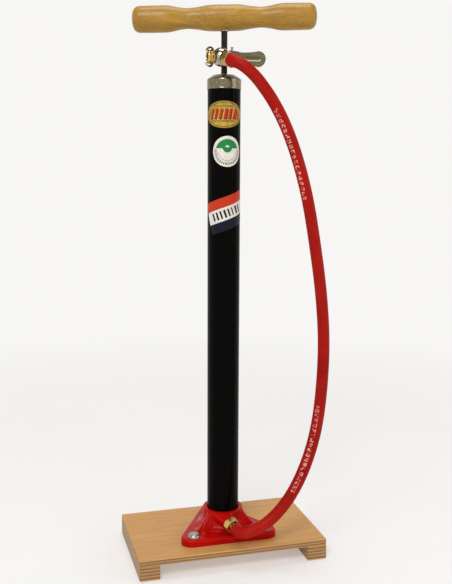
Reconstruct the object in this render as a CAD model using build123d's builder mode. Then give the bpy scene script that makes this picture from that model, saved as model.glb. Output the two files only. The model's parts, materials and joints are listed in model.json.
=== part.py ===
"""Floor bike pump: a steel barrel on a cast foot, bolted to a small plywood board.

Millimetres, +Z up. The origin is the centre of the footprint, on the ground. The barrel's axis is
vertical and stands a little in front of that centre. Everything is drawn with the plunger fully
down, the head parked in front of the rod and its lever open.
"""

import math
import os

from build123d import *

os.makedirs("parts", exist_ok=True)

# ---------------------------------------------------------------- driving dimensions
axis_y = -8.0  # the barrel's axis, in front of the board's centre

board_length = 210.0
board_depth = 126.0
board_thickness = 7.0
batten_width = 22.0
batten_height = 16.0
batten_x = (board_length - batten_width) / 2
board_top = batten_height + board_thickness

barrel_radius = 17.5
barrel_wall = 1.5
bore_radius = barrel_radius - barrel_wall
barrel_bottom = 44.0
barrel_top = 522.0

foot_thickness = 8.0
foot_top = board_top + foot_thickness
foot_corner_radius = 12.0
foot_corners = ((-42.0, -34.0), (42.0, -34.0), (0.0, 41.0))
bolt_places = ((-40.0, -36.0), (40.0, -36.0), (0.0, 41.0))
bolt_radius = 3.0
bolt_head_radius = 7.0
bolt_head_height = 3.8
collar_radius = 22.4
collar_top = 51.7
flare_radius = 34.0
flare_top = 43.0
rib_width = 10.0
socket_floor = 41.0
chamber_radius = 14.5
chamber_floor = board_top + 6.0

cap_radius = 18.05
cap_bottom = 512.6
cap_shoulder = 523.0
cap_top = 527.5
cap_flat_radius = 11.2

rod_radius = 3.25
rod_tail_radius = 2.5
rod_bottom = 45.0
rod_shoulder = 56.1
rod_top = 588.0
running_gap = 0.06

handle_height = 585.6
handle_length = 192.6
handle_yaw = -16.0  # the handle's right end swings towards the front
handle_skew = 1.2  # its right end also sits a little high on the rod

outlet_angle = 20.0  # the outlet leans this far from straight ahead
outlet_droop = 15.0  # and points this far down
outlet_face = (1.62, -44.95, 41.5)  # centre of the outlet nut's front face
outlet_neck = 3.2  # bare tail between the nut and the hose
outlet_nut_flats = 15.0
outlet_nut_length = 6.5
outlet_washer_thickness = 1.0
boss_radius = 7.0
passage_radius = 2.0
tail_thread_radius = 4.0

hose_radius = 6.3
hose_bore = 3.0
barb_radius = 3.4
barb_length = 6.0

head_centre = (-7.2, -21.5, 544.0)
head_radius = 9.8
head_tilt = 15.0  # the head hangs nose-down about its mouth's axis
tail_length = 16.7  # from the head's centre to the hose's end
neck_radius = 6.0
neck_end = 13.0
chamber_bore = 5.0
valve_hole_radius = 4.1
mouth_cap_radius = 7.2
mouth_cap_end = 15.0
pivot_x = 11.1  # the lever's pin, behind the head's centre
lever_tip = 47.0
lever_half_width = 6.8
lever_sheet = 1.1
lever_web_y = -4.4
pin_radius = 1.1
cam_radius = 3.2
cam_offset = 1.2

label_thickness = 0.15
oval_height = 486.0
round_height = 448.0
stripe_height = 384.0
oval_turn = -14.6  # how far each label's middle lies to the right of the front
round_turn = -3.4
stripe_turn = -5.0
stripe_width = 34.0
stripe_tilt = 19.5

# The hose's route: from the outlet, out to the right, up, and back to the head.
hose_route = [
    (2.68, -47.85, 40.67),
    (5.0, -54.24, 38.85),
    (9.55, -59.6, 39.4),
    (16.23, -63.27, 42.69),
    (30.53, -63.19, 46.91),
    (47.0, -62.5, 59.2),
    (63.3, -63.0, 79.6),
    (78.4, -63.0, 110.0),
    (90.0, -63.0, 149.0),
    (95.5, -63.0, 196.0),
    (97.0, -63.0, 248.0),
    (92.4, -63.0, 301.0),
    (84.3, -63.0, 352.0),
    (75.8, -62.5, 398.5),
    (64.8, -61.5, 438.5),
    (52.2, -60.0, 472.0),
    (38.3, -57.5, 498.5),
    (24.1, -54.0, 518.5),
    (15.2, -51.8, 528.0),
    (7.4, -48.5, 534.3),
    (1.31, -44.08, 537.95),
    (-1.49, -36.66, 539.94),
]


# ---------------------------------------------------------------- helpers
def at_height(z):
    """A level plane centred on the barrel's axis."""
    return Plane(origin=(0, axis_y, z))


def radial_plane(angle):
    """An upright plane through the barrel's axis; its x runs outwards at this angle."""
    turn = math.radians(angle)
    outwards = (math.cos(turn), math.sin(turn), 0)
    return Plane(origin=(0, axis_y, 0), x_dir=outwards, z_dir=(math.sin(turn), -math.cos(turn), 0))


pump_axis = Axis((0, axis_y, 0), (0, 0, 1))
pump_side = radial_plane(0)


def ring(z, height, outer, inner):
    """A flat ring round the barrel's axis, added to the part in progress."""
    with BuildSketch(at_height(z)) as section:
        Circle(outer)
        if inner:
            Circle(inner, mode=Mode.SUBTRACT)
    extrude(section.sketch, amount=height)


def finish(part, name):
    """Label a finished piece and write its file."""
    part.label = name
    export_step(part, f"parts/{name}.step")


# ---------------------------------------------------------------- board and battens
screw_places = [(side * batten_x, depth) for side in (-1, 1) for depth in (-45.0, 45.0)]
screw_radius = 1.7
screw_head_radius = 3.6
screw_head_height = 2.4
screw_inset = 0.6
screw_tip = 20.0
edge_ease = 0.5

with BuildPart() as base_board:
    with BuildSketch(Plane.XY.offset(batten_height)):
        RectangleRounded(board_length, board_depth, 1.5)
    extrude(amount=board_thickness)
    chamfer(base_board.edges().group_by(Axis.Z)[-1], length=edge_ease)
    with BuildSketch(Plane.XY.offset(batten_height)):
        with Locations(*bolt_places):
            Circle(bolt_radius + 0.2)
    extrude(amount=board_thickness, mode=Mode.SUBTRACT)
    with BuildSketch(Plane.XY.offset(batten_height)):
        with Locations(*screw_places):
            Circle(screw_radius)
    extrude(amount=screw_tip - batten_height, mode=Mode.SUBTRACT)
finish(base_board.part, "base_board")

for name, side in (("left_batten", -1), ("right_batten", 1)):
    with BuildPart() as batten:
        with BuildSketch(Plane.XY):
            with Locations((side * batten_x, 0)):
                RectangleRounded(batten_width, board_depth, 1.0)
        extrude(amount=batten_height)
        chamfer(batten.edges().group_by(Axis.Z)[0], length=edge_ease)
        with BuildSketch(Plane.XY):
            with Locations(*[place for place in screw_places if place[0] * side > 0]):
                Circle(screw_head_radius)
        extrude(amount=screw_inset + screw_head_height, mode=Mode.SUBTRACT)
        with BuildSketch(Plane.XY):
            with Locations(*[place for place in screw_places if place[0] * side > 0]):
                Circle(screw_radius)
        extrude(amount=batten_height, mode=Mode.SUBTRACT)
    finish(batten.part, name)

with BuildPart() as batten_screws:
    with BuildSketch(Plane.XY.offset(screw_inset)):
        with Locations(*screw_places):
            Circle(screw_head_radius)
    extrude(amount=screw_head_height)
    with BuildSketch(Plane.XY.offset(screw_inset)):
        with Locations(*screw_places):
            Circle(screw_radius)
    extrude(amount=screw_tip - screw_inset)
finish(batten_screws.part, "batten_screws")

# ---------------------------------------------------------------- cast foot
lean = math.radians(outlet_angle)
droop = math.radians(outlet_droop)
outlet_direction = Vector(
    math.sin(lean) * math.cos(droop),
    -math.cos(lean) * math.cos(droop),
    -math.sin(droop),
)


def outlet_plane(distance):
    """A plane square to the outlet, this far beyond the nut's front face."""
    return Plane(origin=Vector(*outlet_face) + outlet_direction * distance, z_dir=outlet_direction)


boss_face = -(outlet_nut_length + outlet_washer_thickness)
boss_length = 12.0
thread_depth = 8.0
passage_start = outlet_plane(boss_face - thread_depth + 2.0).origin
passage_end = Vector(12.0 * math.sin(lean), axis_y - 12.0 * math.cos(lean), 34.0)
passage_run = passage_end - passage_start

with BuildPart() as foot_casting:
    with BuildSketch(Plane.XY.offset(board_top)):
        with Locations(*foot_corners):
            Circle(foot_corner_radius)
        make_hull()
    extrude(amount=foot_thickness)
    fillet(foot_casting.edges().group_by(Axis.Z)[-1], radius=2.5)
    with BuildSketch(pump_side):
        with BuildLine():
            flare = ThreePointArc(
                (flare_radius, foot_top),
                (flare_radius - 8.2, foot_top + 3.5),
                (collar_radius, flare_top),
            )
            Polyline(
                flare @ 1,
                (collar_radius, collar_top),
                (0, collar_top),
                (0, board_top + 1),
                (flare_radius, board_top + 1),
                flare @ 0,
            )
        make_face()
    revolve(axis=pump_axis)
    for corner_x, corner_y in foot_corners:
        direction = math.degrees(math.atan2(corner_y - axis_y, corner_x))
        with BuildSketch(radial_plane(direction)):
            Polygon(
                (16.0, board_top + 1),
                (39.0, board_top + 1),
                (39.0, foot_top + 1.0),
                (21.5, collar_top - 2.5),
                (16.0, collar_top - 2.5),
                align=None,
            )
        extrude(amount=rib_width / 2, both=True)
    with BuildSketch(outlet_plane(boss_face)):
        Circle(boss_radius)
    extrude(amount=-boss_length)
    with Locations((0, axis_y, collar_top + 10.0)):
        Box(80.0, 80.0, 20.0, mode=Mode.SUBTRACT)
    with BuildSketch(at_height(socket_floor)):
        Circle(barrel_radius + 0.02)
    extrude(amount=collar_top - socket_floor, mode=Mode.SUBTRACT)
    with BuildSketch(at_height(chamber_floor)):
        Circle(chamber_radius)
    extrude(amount=socket_floor - chamber_floor, mode=Mode.SUBTRACT)
    with BuildSketch(outlet_plane(boss_face)):
        Circle(tail_thread_radius + 0.02)
    extrude(amount=-thread_depth, mode=Mode.SUBTRACT)
    with BuildSketch(Plane(origin=passage_start, z_dir=passage_run)):
        Circle(passage_radius)
    extrude(amount=passage_run.length, mode=Mode.SUBTRACT)
    with BuildSketch(Plane.XY.offset(board_top)):
        with Locations(*bolt_places):
            Circle(bolt_radius + 0.2)
    extrude(amount=foot_thickness + 4, mode=Mode.SUBTRACT)
finish(foot_casting.part, "foot_casting")

washer_thickness = 1.6
nut_thickness = 5.0
bolt_end = batten_height - washer_thickness - nut_thickness - 1.5

with BuildPart() as foot_bolts:
    with BuildSketch(Plane.XY.offset(foot_top)):
        with Locations(*bolt_places):
            Circle(bolt_head_radius)
    extrude(amount=bolt_head_height)
    fillet(foot_bolts.edges().group_by(Axis.Z)[-1], radius=bolt_head_height - 0.6)
    with BuildSketch(Plane.XY.offset(bolt_end)):
        with Locations(*bolt_places):
            Circle(bolt_radius)
    extrude(amount=foot_top - bolt_end)
finish(foot_bolts.part, "foot_bolts")

with BuildPart() as foot_washers:
    with BuildSketch(Plane.XY.offset(batten_height - washer_thickness)):
        with Locations(*bolt_places):
            Circle(7.0)
            Circle(bolt_radius + 0.1, mode=Mode.SUBTRACT)
    extrude(amount=washer_thickness)
finish(foot_washers.part, "foot_washers")

with BuildPart() as foot_nuts:
    with BuildSketch(Plane.XY.offset(batten_height - washer_thickness - nut_thickness)):
        with Locations(*bolt_places):
            RegularPolygon(radius=5.0, side_count=6, major_radius=False)
            Circle(bolt_radius, mode=Mode.SUBTRACT)
    extrude(amount=nut_thickness)
finish(foot_nuts.part, "foot_nuts")

# ---------------------------------------------------------------- barrel and what closes it
with BuildPart() as barrel:
    ring(barrel_bottom, barrel_top - barrel_bottom, barrel_radius, bore_radius)
finish(barrel.part, "barrel")

gasket_thickness = 1.0
seat_thickness = 2.0
seat_hole_radius = 2.5

with BuildPart() as valve_seat:
    ring(socket_floor, seat_thickness, barrel_radius - 0.1, seat_hole_radius)
finish(valve_seat.part, "valve_seat")

with BuildPart() as barrel_gasket:
    ring(barrel_bottom - gasket_thickness, gasket_thickness, barrel_radius - 0.1, bore_radius - 0.5)
finish(barrel_gasket.part, "barrel_gasket")

ball_radius = 3.5
ball_height = socket_floor - math.sqrt(ball_radius**2 - seat_hole_radius**2) - 0.05

with BuildPart() as check_ball:
    with Locations((0, axis_y, ball_height)):
        Sphere(ball_radius)
finish(check_ball.part, "check_ball")

spring_wire = 0.3
spring_radius = 2.2
spring_bottom = chamber_floor + 0.1 + spring_wire
spring_height = 5.5

with BuildPart() as check_spring:
    with BuildLine():
        coil = Helix(
            pitch=1.3,
            height=spring_height,
            radius=spring_radius,
            center=(0, axis_y, spring_bottom),
        )
    with BuildSketch(Plane(origin=coil @ 0, z_dir=coil % 0)):
        Circle(spring_wire)
    sweep()
finish(check_spring.part, "check_spring")

bush_radius = 6.5
bush_bottom = 513.0
felt_bottom = 519.0
felt_height = 4.0
felt_radius = 5.2

with BuildPart() as top_cap:
    with BuildSketch(pump_side):
        with BuildLine():
            Polyline(
                (barrel_radius + 0.02, cap_bottom),
                (cap_radius + 0.2, cap_bottom),
                (cap_radius + 0.2, cap_bottom + 0.8),
                (cap_radius, cap_bottom + 1.3),
                (cap_radius, cap_shoulder),
                (cap_flat_radius, cap_top),
                (bush_radius, cap_top),
                (bush_radius, cap_top - 1.0),
                (cap_flat_radius - 0.3, cap_top - 1.0),
                (barrel_radius + 0.02, cap_shoulder - 0.8),
                close=True,
            )
        make_face()
    revolve(axis=pump_axis)
finish(top_cap.part, "top_cap")

with BuildPart() as guide_bush:
    ring(bush_bottom, cap_top + 0.6 - bush_bottom, bush_radius, rod_radius + running_gap)
    ring(bush_bottom + 7.0, 1.5, bore_radius - 0.1, bush_radius - 0.5)
    with BuildSketch(at_height(felt_bottom)):
        Circle(felt_radius)
    extrude(amount=felt_height, mode=Mode.SUBTRACT)
finish(guide_bush.part, "guide_bush")

with BuildPart() as wiper_felt:
    ring(felt_bottom, felt_height, felt_radius, rod_radius + running_gap)
finish(wiper_felt.part, "wiper_felt")

# ---------------------------------------------------------------- plunger
cup_base = 52.0
cup_thickness = 2.0
cup_lip = 45.6
cup_radius = bore_radius - 0.08
tail_hole = rod_tail_radius + running_gap
plate_thickness = 2.0
plate_bottom = cup_base + cup_thickness

with BuildPart() as cup_washer:
    ring(cup_base - 1.5, 1.5, 12.6, tail_hole)
finish(cup_washer.part, "cup_washer")

with BuildPart() as leather_cup:
    ring(cup_base, cup_thickness, cup_radius, tail_hole)
    ring(cup_lip, cup_base - cup_lip, cup_radius, cup_radius - 1.8)
finish(leather_cup.part, "leather_cup")

with BuildPart() as plunger_plate:
    ring(plate_bottom, plate_thickness, bore_radius - 0.9, tail_hole)
finish(plunger_plate.part, "plunger_plate")

with BuildPart() as top_buffer:
    ring(plate_bottom + plate_thickness + 0.2, 6.0, 8.5, rod_radius + running_gap)
finish(top_buffer.part, "top_buffer")

# ---------------------------------------------------------------- rod and handle
handle_bottom = handle_height - 13.3
insert_radius = 4.6
insert_length = 18.0
insert_bottom = handle_bottom - 0.4
grip_shoulder = insert_bottom + 4.0

with BuildPart() as piston_rod:
    ring(rod_bottom, rod_top - rod_bottom, rod_tail_radius, 0)
    ring(rod_shoulder, grip_shoulder - rod_shoulder, rod_radius, 0)
finish(piston_rod.part, "piston_rod")

with BuildPart() as rod_nut:
    with BuildSketch(at_height(46.4)):
        RegularPolygon(radius=4.0, side_count=6, major_radius=False)
        Circle(rod_tail_radius, mode=Mode.SUBTRACT)
    extrude(amount=4.0)
finish(rod_nut.part, "rod_nut")

yaw = math.radians(handle_yaw)
skew = math.radians(handle_skew)
grip_direction = Vector(
    math.cos(yaw) * math.cos(skew),
    math.sin(yaw) * math.cos(skew),
    math.sin(skew),
)
handle_plane = Plane(
    origin=(0, axis_y, handle_height),
    x_dir=grip_direction,
    z_dir=grip_direction.cross(Vector(0, 0, 1)),
)
half = handle_length / 2
# Half of the turned outline: distance from the middle, radius. Middle swell, waist, end swell.
turned_half = [
    (0.0, 13.3),
    (17.0, 13.0),
    (29.0, 11.2),
    (39.0, 10.45),
    (48.0, 11.5),
    (57.0, 13.3),
    (72.0, 13.65),
    (88.0, 13.5),
]
turned_points = [(-s, r) for s, r in reversed(turned_half[1:])] + turned_half

with BuildPart() as handle:
    with BuildSketch(handle_plane):
        with BuildLine():
            outline = Spline(*turned_points)
            right_end = ThreePointArc(outline @ 1, (half - 2.5, 11.0), (half, 5.8))
            left_end = ThreePointArc(outline @ 0, (-half + 2.5, 11.0), (-half, 5.8))
            Polyline(right_end @ 1, (half, 0), (-half, 0), left_end @ 1)
        make_face()
    revolve(axis=Axis((0, axis_y, handle_height), grip_direction))
    with BuildSketch(at_height(insert_bottom - 6)):
        Circle(insert_radius)
    extrude(amount=insert_length + 6, mode=Mode.SUBTRACT)
finish(handle.part, "handle")

with BuildPart() as handle_insert:
    ring(insert_bottom, insert_length, insert_radius, rod_tail_radius)
    with BuildSketch(at_height(insert_bottom)):
        Circle(rod_radius)
    extrude(amount=grip_shoulder - insert_bottom, mode=Mode.SUBTRACT)
finish(handle_insert.part, "handle_insert")

# ---------------------------------------------------------------- outlet
with BuildPart() as outlet_washer:
    with BuildSketch(outlet_plane(boss_face)):
        Circle(boss_radius)
        Circle(tail_thread_radius, mode=Mode.SUBTRACT)
    extrude(amount=outlet_washer_thickness)
finish(outlet_washer.part, "outlet_washer")

with BuildPart() as outlet_nut:
    with BuildSketch(outlet_plane(-outlet_nut_length)):
        RegularPolygon(radius=outlet_nut_flats / 2, side_count=6, major_radius=False)
        Circle(tail_thread_radius, mode=Mode.SUBTRACT)
    extrude(amount=outlet_nut_length)
    chamfer(outlet_nut.edges().filter_by(GeomType.LINE).sort_by(Axis.Y)[:6], length=0.6)
finish(outlet_nut.part, "outlet_nut")

with BuildPart() as outlet_tail:
    with BuildSketch(outlet_plane(boss_face - thread_depth + 0.5)):
        Circle(tail_thread_radius)
    extrude(amount=thread_depth - 0.5 - boss_face + outlet_neck)
    with BuildSketch(outlet_plane(outlet_neck)):
        Circle(barb_radius)
    extrude(amount=barb_length)
    with BuildSketch(outlet_plane(boss_face - thread_depth)):
        Circle(1.8)
    extrude(
        amount=thread_depth - boss_face + outlet_neck + barb_length,
        mode=Mode.SUBTRACT,
    )
finish(outlet_tail.part, "outlet_tail")


# ---------------------------------------------------------------- hose
def arc_radius(before, corner, after):
    """The largest tangent arc that the two runs at a corner allow."""
    run_in = Vector(*corner) - Vector(*before)
    run_out = Vector(*after) - Vector(*corner)
    half_turn = math.radians(run_in.get_angle(run_out)) / 2
    return 0.45 * min(run_in.length, run_out.length) / math.tan(half_turn)


corner_radii = [arc_radius(*three) for three in zip(hose_route, hose_route[1:], hose_route[2:])]
print("hose arc radii, mm:", [round(radius) for radius in corner_radii])

with BuildPart() as hose:
    with BuildLine():
        hose_path = FilletPolyline(*hose_route, radius=corner_radii)
    with BuildSketch(Plane(origin=hose_path @ 0, z_dir=hose_path % 0)):
        Circle(hose_radius)
        Circle(hose_bore, mode=Mode.SUBTRACT)
    sweep()
print("hose length, mm:", round(hose_path.length, 1))
hose_section = math.pi * (hose_radius**2 - hose_bore**2)
print("hose volume over section times length:", round(hose.part.volume / hose_section / hose_path.length, 4))
finish(hose.part, "hose")

# ---------------------------------------------------------------- pump head
tilt = math.radians(head_tilt)
head_up = Vector(0, -math.sin(tilt), math.cos(tilt))
head_back = Vector(0, math.cos(tilt), math.sin(tilt))
head_right = Vector(1, 0, 0)


def in_head(x, y, z):
    """A point of the head's own frame: x away from the mouth, y back, z up along the pin."""
    return Vector(*head_centre) + head_right * x + head_back * y + head_up * z


def mouth_plane(x):
    """A plane square to the mouth at this x of the head; its normal looks out of the mouth."""
    return Plane(origin=in_head(x, 0, 0), x_dir=head_up, z_dir=-head_right)


def pin_plane(z):
    """A plane square to the pin; its x runs towards the lever's tip."""
    return Plane(origin=in_head(0, 0, z), x_dir=head_right, z_dir=head_up)


def lever_plane(y):
    """The plane of the lever's flat sheet; x runs to its tip and y up the pin."""
    return Plane(origin=in_head(0, y, 0), x_dir=head_right, z_dir=-head_back)


tail_direction = head_right * math.sin(lean) - head_back * math.cos(lean)


def tail_plane(distance):
    """A plane square to the hose tail, this far from the head's centre."""
    return Plane(origin=Vector(*head_centre) + tail_direction * distance, z_dir=tail_direction)


tail_seat = 7.8
chamber_back = 6.0
slot_start = 6.9
ear_end = 14.2
ear_half_height = 5.4
slot_half_height = 3.1
pin_clearance = 0.05

with BuildPart() as head_body:
    with Locations(Vector(*head_centre)):
        Sphere(head_radius)
    with BuildSketch(mouth_plane(0)):
        Circle(neck_radius)
    extrude(amount=neck_end)
    with BuildSketch(tail_plane(0)):
        Circle(6.8)
    extrude(amount=tail_seat)
    with BuildSketch(tail_plane(tail_seat)):
        Circle(head_radius)
    extrude(amount=head_radius, mode=Mode.SUBTRACT)
    with BuildSketch(pin_plane(-ear_half_height)):
        with Locations(((ear_end - 3.0 + 4.0) / 2, 0)):
            Rectangle(ear_end - 3.0 - 4.0, 6.0)
        with Locations((pivot_x, 0)):
            Circle(3.0)
    extrude(amount=2 * ear_half_height)
    with BuildSketch(pin_plane(-slot_half_height)):
        with Locations((slot_start + 10.0, 0)):
            Rectangle(20.0, 20.0)
    extrude(amount=2 * slot_half_height, mode=Mode.SUBTRACT)
    with BuildSketch(pin_plane(-9)):
        with Locations((pivot_x, 0)):
            Circle(pin_radius + pin_clearance)
    extrude(amount=18, mode=Mode.SUBTRACT)
    with BuildSketch(mouth_plane(chamber_back)):
        Circle(chamber_bore)
    extrude(amount=chamber_back + neck_end, mode=Mode.SUBTRACT)
    with BuildSketch(mouth_plane(slot_start)):
        Circle(2.0)
    extrude(amount=2.0, mode=Mode.SUBTRACT)
    with BuildSketch(tail_plane(0)):
        Circle(1.8)
    extrude(amount=tail_seat, mode=Mode.SUBTRACT)
finish(head_body.part, "head_body")

cap_face = 1.3
cap_grip_start = -8.9

with BuildPart() as mouth_cap:
    with BuildSketch(mouth_plane(cap_grip_start - 1.0)):
        Circle(mouth_cap_radius)
        Circle(neck_radius + 0.02, mode=Mode.SUBTRACT)
    extrude(amount=mouth_cap_end + cap_grip_start - 1.0 - cap_face)
    with BuildSketch(mouth_plane(-mouth_cap_end + cap_face)):
        Circle(mouth_cap_radius)
        Circle(valve_hole_radius + 0.3, mode=Mode.SUBTRACT)
    extrude(amount=cap_face)
finish(mouth_cap.part, "mouth_cap")

claw_half_width = 2.4

with BuildPart() as mouth_claws:
    with BuildSketch(mouth_plane(cap_grip_start)):
        Circle(8.6)
        Circle(neck_radius + 0.02, mode=Mode.SUBTRACT)
    extrude(amount=1.0)
    for up in (1, -1):
        with BuildSketch(lever_plane(0)):
            with BuildLine():
                outer = Spline((-8.9, up * 8.2), (-11.6, up * 10.2), (-14.4, up * 9.0), (-16.6, up * 5.8))
                inner = Spline((-15.7, up * 6.7), (-14.5, up * 8.0), (-11.8, up * 8.8), (-9.9, up * 7.9))
                Line(outer @ 1, inner @ 0)
                Line(inner @ 1, outer @ 0)
            make_face()
        extrude(amount=claw_half_width, both=True)
finish(mouth_claws.part, "mouth_claws")

seal_back = -5.6
with BuildPart() as mouth_seal:
    with BuildSketch(mouth_plane(seal_back)):
        Circle(chamber_bore - 0.05)
        Circle(valve_hole_radius, mode=Mode.SUBTRACT)
    extrude(amount=8.0)
finish(mouth_seal.part, "mouth_seal")

pusher_gap = 0.08
pusher_back = 4.6
cam_reach = pivot_x + cam_offset - cam_radius

with BuildPart() as seal_pusher:
    with BuildSketch(mouth_plane(pusher_back)):
        Circle(chamber_bore - pusher_gap)
    extrude(amount=pusher_back - seal_back - 1.3)
    with BuildSketch(mouth_plane(2.6)):
        Circle(chamber_bore)
        Circle(3.4, mode=Mode.SUBTRACT)
    extrude(amount=5.0, mode=Mode.SUBTRACT)
    with BuildSketch(mouth_plane(2.0)):
        Circle(1.6)
    extrude(amount=8.0, mode=Mode.SUBTRACT)
    with BuildSketch(mouth_plane(cam_reach - 0.1)):
        Circle(2.0 - pusher_gap)
    extrude(amount=cam_reach - 0.1 - pusher_back)
finish(seal_pusher.part, "seal_pusher")

with BuildPart() as head_tail:
    with BuildSketch(tail_plane(tail_seat)):
        RegularPolygon(radius=6.8, side_count=6, major_radius=False)
    extrude(amount=tail_length - tail_seat)
    with BuildSketch(tail_plane(tail_length)):
        Circle(barb_radius)
    extrude(amount=barb_length)
    with BuildSketch(tail_plane(tail_seat)):
        Circle(1.8)
    extrude(amount=tail_length + barb_length - tail_seat, mode=Mode.SUBTRACT)
finish(head_tail.part, "head_tail")

web_start = 11.6
flange_end = 18.0
waist_x = 28.0
waist_half_width = 6.4
tip_radius = 8.1
rib_start = 25.0
rib_end = 41.3
rib_height = 3.4

with BuildPart() as lever:
    with BuildSketch(lever_plane(lever_web_y - lever_sheet / 2)):
        with BuildLine():
            top_edge = Spline(
                (web_start, lever_half_width),
                (waist_x, waist_half_width),
                (lever_tip - tip_radius, tip_radius),
            )
            tip = ThreePointArc(
                (lever_tip - tip_radius, tip_radius),
                (lever_tip, 0),
                (lever_tip - tip_radius, -tip_radius),
            )
            low_edge = Spline(
                (lever_tip - tip_radius, -tip_radius),
                (waist_x, -waist_half_width),
                (web_start, -lever_half_width),
            )
            Line(low_edge @ 1, top_edge @ 0)
        make_face()
    extrude(amount=-lever_sheet)
    with BuildSketch(lever_plane(lever_web_y - lever_sheet / 2)):
        with Locations(((rib_start + rib_end) / 2, 0)):
            SlotOverall(rib_end - rib_start, rib_height)
    extrude(amount=-0.4, mode=Mode.SUBTRACT)
    for level in (-lever_half_width, lever_half_width - lever_sheet):
        with BuildSketch(pin_plane(level)):
            with Locations((pivot_x, 0)):
                Circle(3.0)
            with BuildLine():
                Polyline(
                    (pivot_x, 3.0),
                    (flange_end - 3.0, 1.0),
                    (flange_end, lever_web_y),
                    (web_start, lever_web_y),
                    (pivot_x - 2.0, -2.2),
                    close=True,
                )
            make_face()
        extrude(amount=lever_sheet)
    with BuildSketch(pin_plane(-lever_half_width)):
        with Locations((pivot_x, 0)):
            Circle(pin_radius)
    extrude(amount=2 * lever_half_width, mode=Mode.SUBTRACT)
finish(lever.part, "lever")

with BuildPart() as lever_cam:
    with BuildSketch(pin_plane(-slot_half_height + 0.1)):
        with Locations((pivot_x + cam_offset, 0)):
            Circle(cam_radius)
        with Locations((pivot_x, 0)):
            Circle(pin_radius, mode=Mode.SUBTRACT)
    extrude(amount=2 * slot_half_height - 0.2)
finish(lever_cam.part, "lever_cam")

pin_half_length = 9.4
with BuildPart() as lever_pin:
    with BuildSketch(pin_plane(-pin_half_length)):
        with Locations((pivot_x, 0)):
            Circle(pin_radius)
    extrude(amount=2 * pin_half_length)
    for level in (-pin_half_length - 1.0, pin_half_length):
        with BuildSketch(pin_plane(level)):
            with Locations((pivot_x, 0)):
                Circle(1.6)
        extrude(amount=1.0)
finish(lever_pin.part, "lever_pin")


# ---------------------------------------------------------------- labels
def front_plane(z, turn):
    """An upright plane on the barrel's axis that faces the front, turned to the right by turn."""
    angle = math.radians(turn)
    facing = (math.sin(angle), -math.cos(angle), 0)
    return Plane(origin=(0, axis_y, z), x_dir=(math.cos(angle), math.sin(angle), 0), z_dir=facing)


def wrap(z):
    """Keep only the thin skin of what was extruded, where it lies on the barrel."""
    with BuildSketch(at_height(z - 40)) as skin:
        Circle(barrel_radius + label_thickness)
        Circle(barrel_radius, mode=Mode.SUBTRACT)
    extrude(skin.sketch, amount=80, mode=Mode.INTERSECT)


with BuildPart() as oval_label:
    with BuildSketch(front_plane(oval_height, oval_turn)):
        Ellipse(16.7, 14.0)
    extrude(amount=barrel_radius + 2)
    wrap(oval_height)
finish(oval_label.part, "oval_label")

with BuildPart() as round_label:
    with BuildSketch(front_plane(round_height, round_turn)):
        Ellipse(barrel_radius * math.sin(16.0 / barrel_radius), 16.0)
    extrude(amount=barrel_radius + 2)
    wrap(round_height)
finish(round_label.part, "round_label")

with BuildPart() as stripe_label:
    with BuildSketch(front_plane(stripe_height, stripe_turn)):
        Rectangle(60.0, stripe_width, rotation=stripe_tilt)
        with Locations((0.5, 0)):
            Rectangle(33.4, 80.0, mode=Mode.INTERSECT)
    extrude(amount=barrel_radius + 2)
    wrap(stripe_height)
finish(stripe_label.part, "stripe_label")
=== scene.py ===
# %% [markdown]
# # A floor bike pump
# A steel tube stands on a cast foot, bolted to a small plywood board. A turned wooden bar pushes
# the rod, and a red rubber hose loops from the foot up to a brass and steel head with a lever.
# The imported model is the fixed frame: it says where every part is, in metres, and the surfaces
# made here stand in its place with finer shapes and real finishes.

import json
import math

import bpy
import numpy as np
from mathutils import Matrix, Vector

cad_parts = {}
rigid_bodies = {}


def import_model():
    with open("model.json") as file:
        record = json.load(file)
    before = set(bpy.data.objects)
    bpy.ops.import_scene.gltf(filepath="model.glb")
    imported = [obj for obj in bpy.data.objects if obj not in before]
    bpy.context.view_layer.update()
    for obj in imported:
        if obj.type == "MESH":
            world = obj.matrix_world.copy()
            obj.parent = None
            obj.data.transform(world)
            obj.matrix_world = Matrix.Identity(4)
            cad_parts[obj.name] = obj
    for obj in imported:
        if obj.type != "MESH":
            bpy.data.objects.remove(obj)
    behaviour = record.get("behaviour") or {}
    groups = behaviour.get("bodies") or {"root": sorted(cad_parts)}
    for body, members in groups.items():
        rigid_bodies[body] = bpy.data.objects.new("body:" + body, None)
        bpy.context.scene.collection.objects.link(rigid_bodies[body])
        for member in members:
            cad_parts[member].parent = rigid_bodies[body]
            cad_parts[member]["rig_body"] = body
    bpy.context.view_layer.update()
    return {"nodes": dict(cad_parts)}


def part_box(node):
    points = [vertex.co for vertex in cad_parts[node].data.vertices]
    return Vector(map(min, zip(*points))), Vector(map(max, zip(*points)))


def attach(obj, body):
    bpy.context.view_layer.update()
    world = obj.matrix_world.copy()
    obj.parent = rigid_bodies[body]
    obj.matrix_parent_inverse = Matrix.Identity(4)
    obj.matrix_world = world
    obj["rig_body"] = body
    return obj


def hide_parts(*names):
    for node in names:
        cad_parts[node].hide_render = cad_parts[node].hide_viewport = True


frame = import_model()

# %% [markdown]
# The part is drawn in millimetres and Blender works in metres, so one number turns between them.
# The barrel's axis stands a little in front of the board's centre, and many parts are round
# about it. A colour is picked as a hex value, as on a paint chart, and the shader wants it linear.

# %% Units and colour
MM = 0.001
AXIS_Y = -8.0


def linear(hex_colour):
    """The sRGB curve undone: each channel c is c / 12.92 when small, else ((c + 0.055) / 1.055) ^ 2.4."""
    channels = np.array([int(hex_colour[i : i + 2], 16) for i in (1, 3, 5)]) / 255
    low, high = channels / 12.92, ((channels + 0.055) / 1.055) ** 2.4
    return (*np.where(channels <= 0.04045, low, high), 1.0)


print("linear mid grey:", [round(c, 3) for c in linear("#808080")[:3]])

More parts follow.
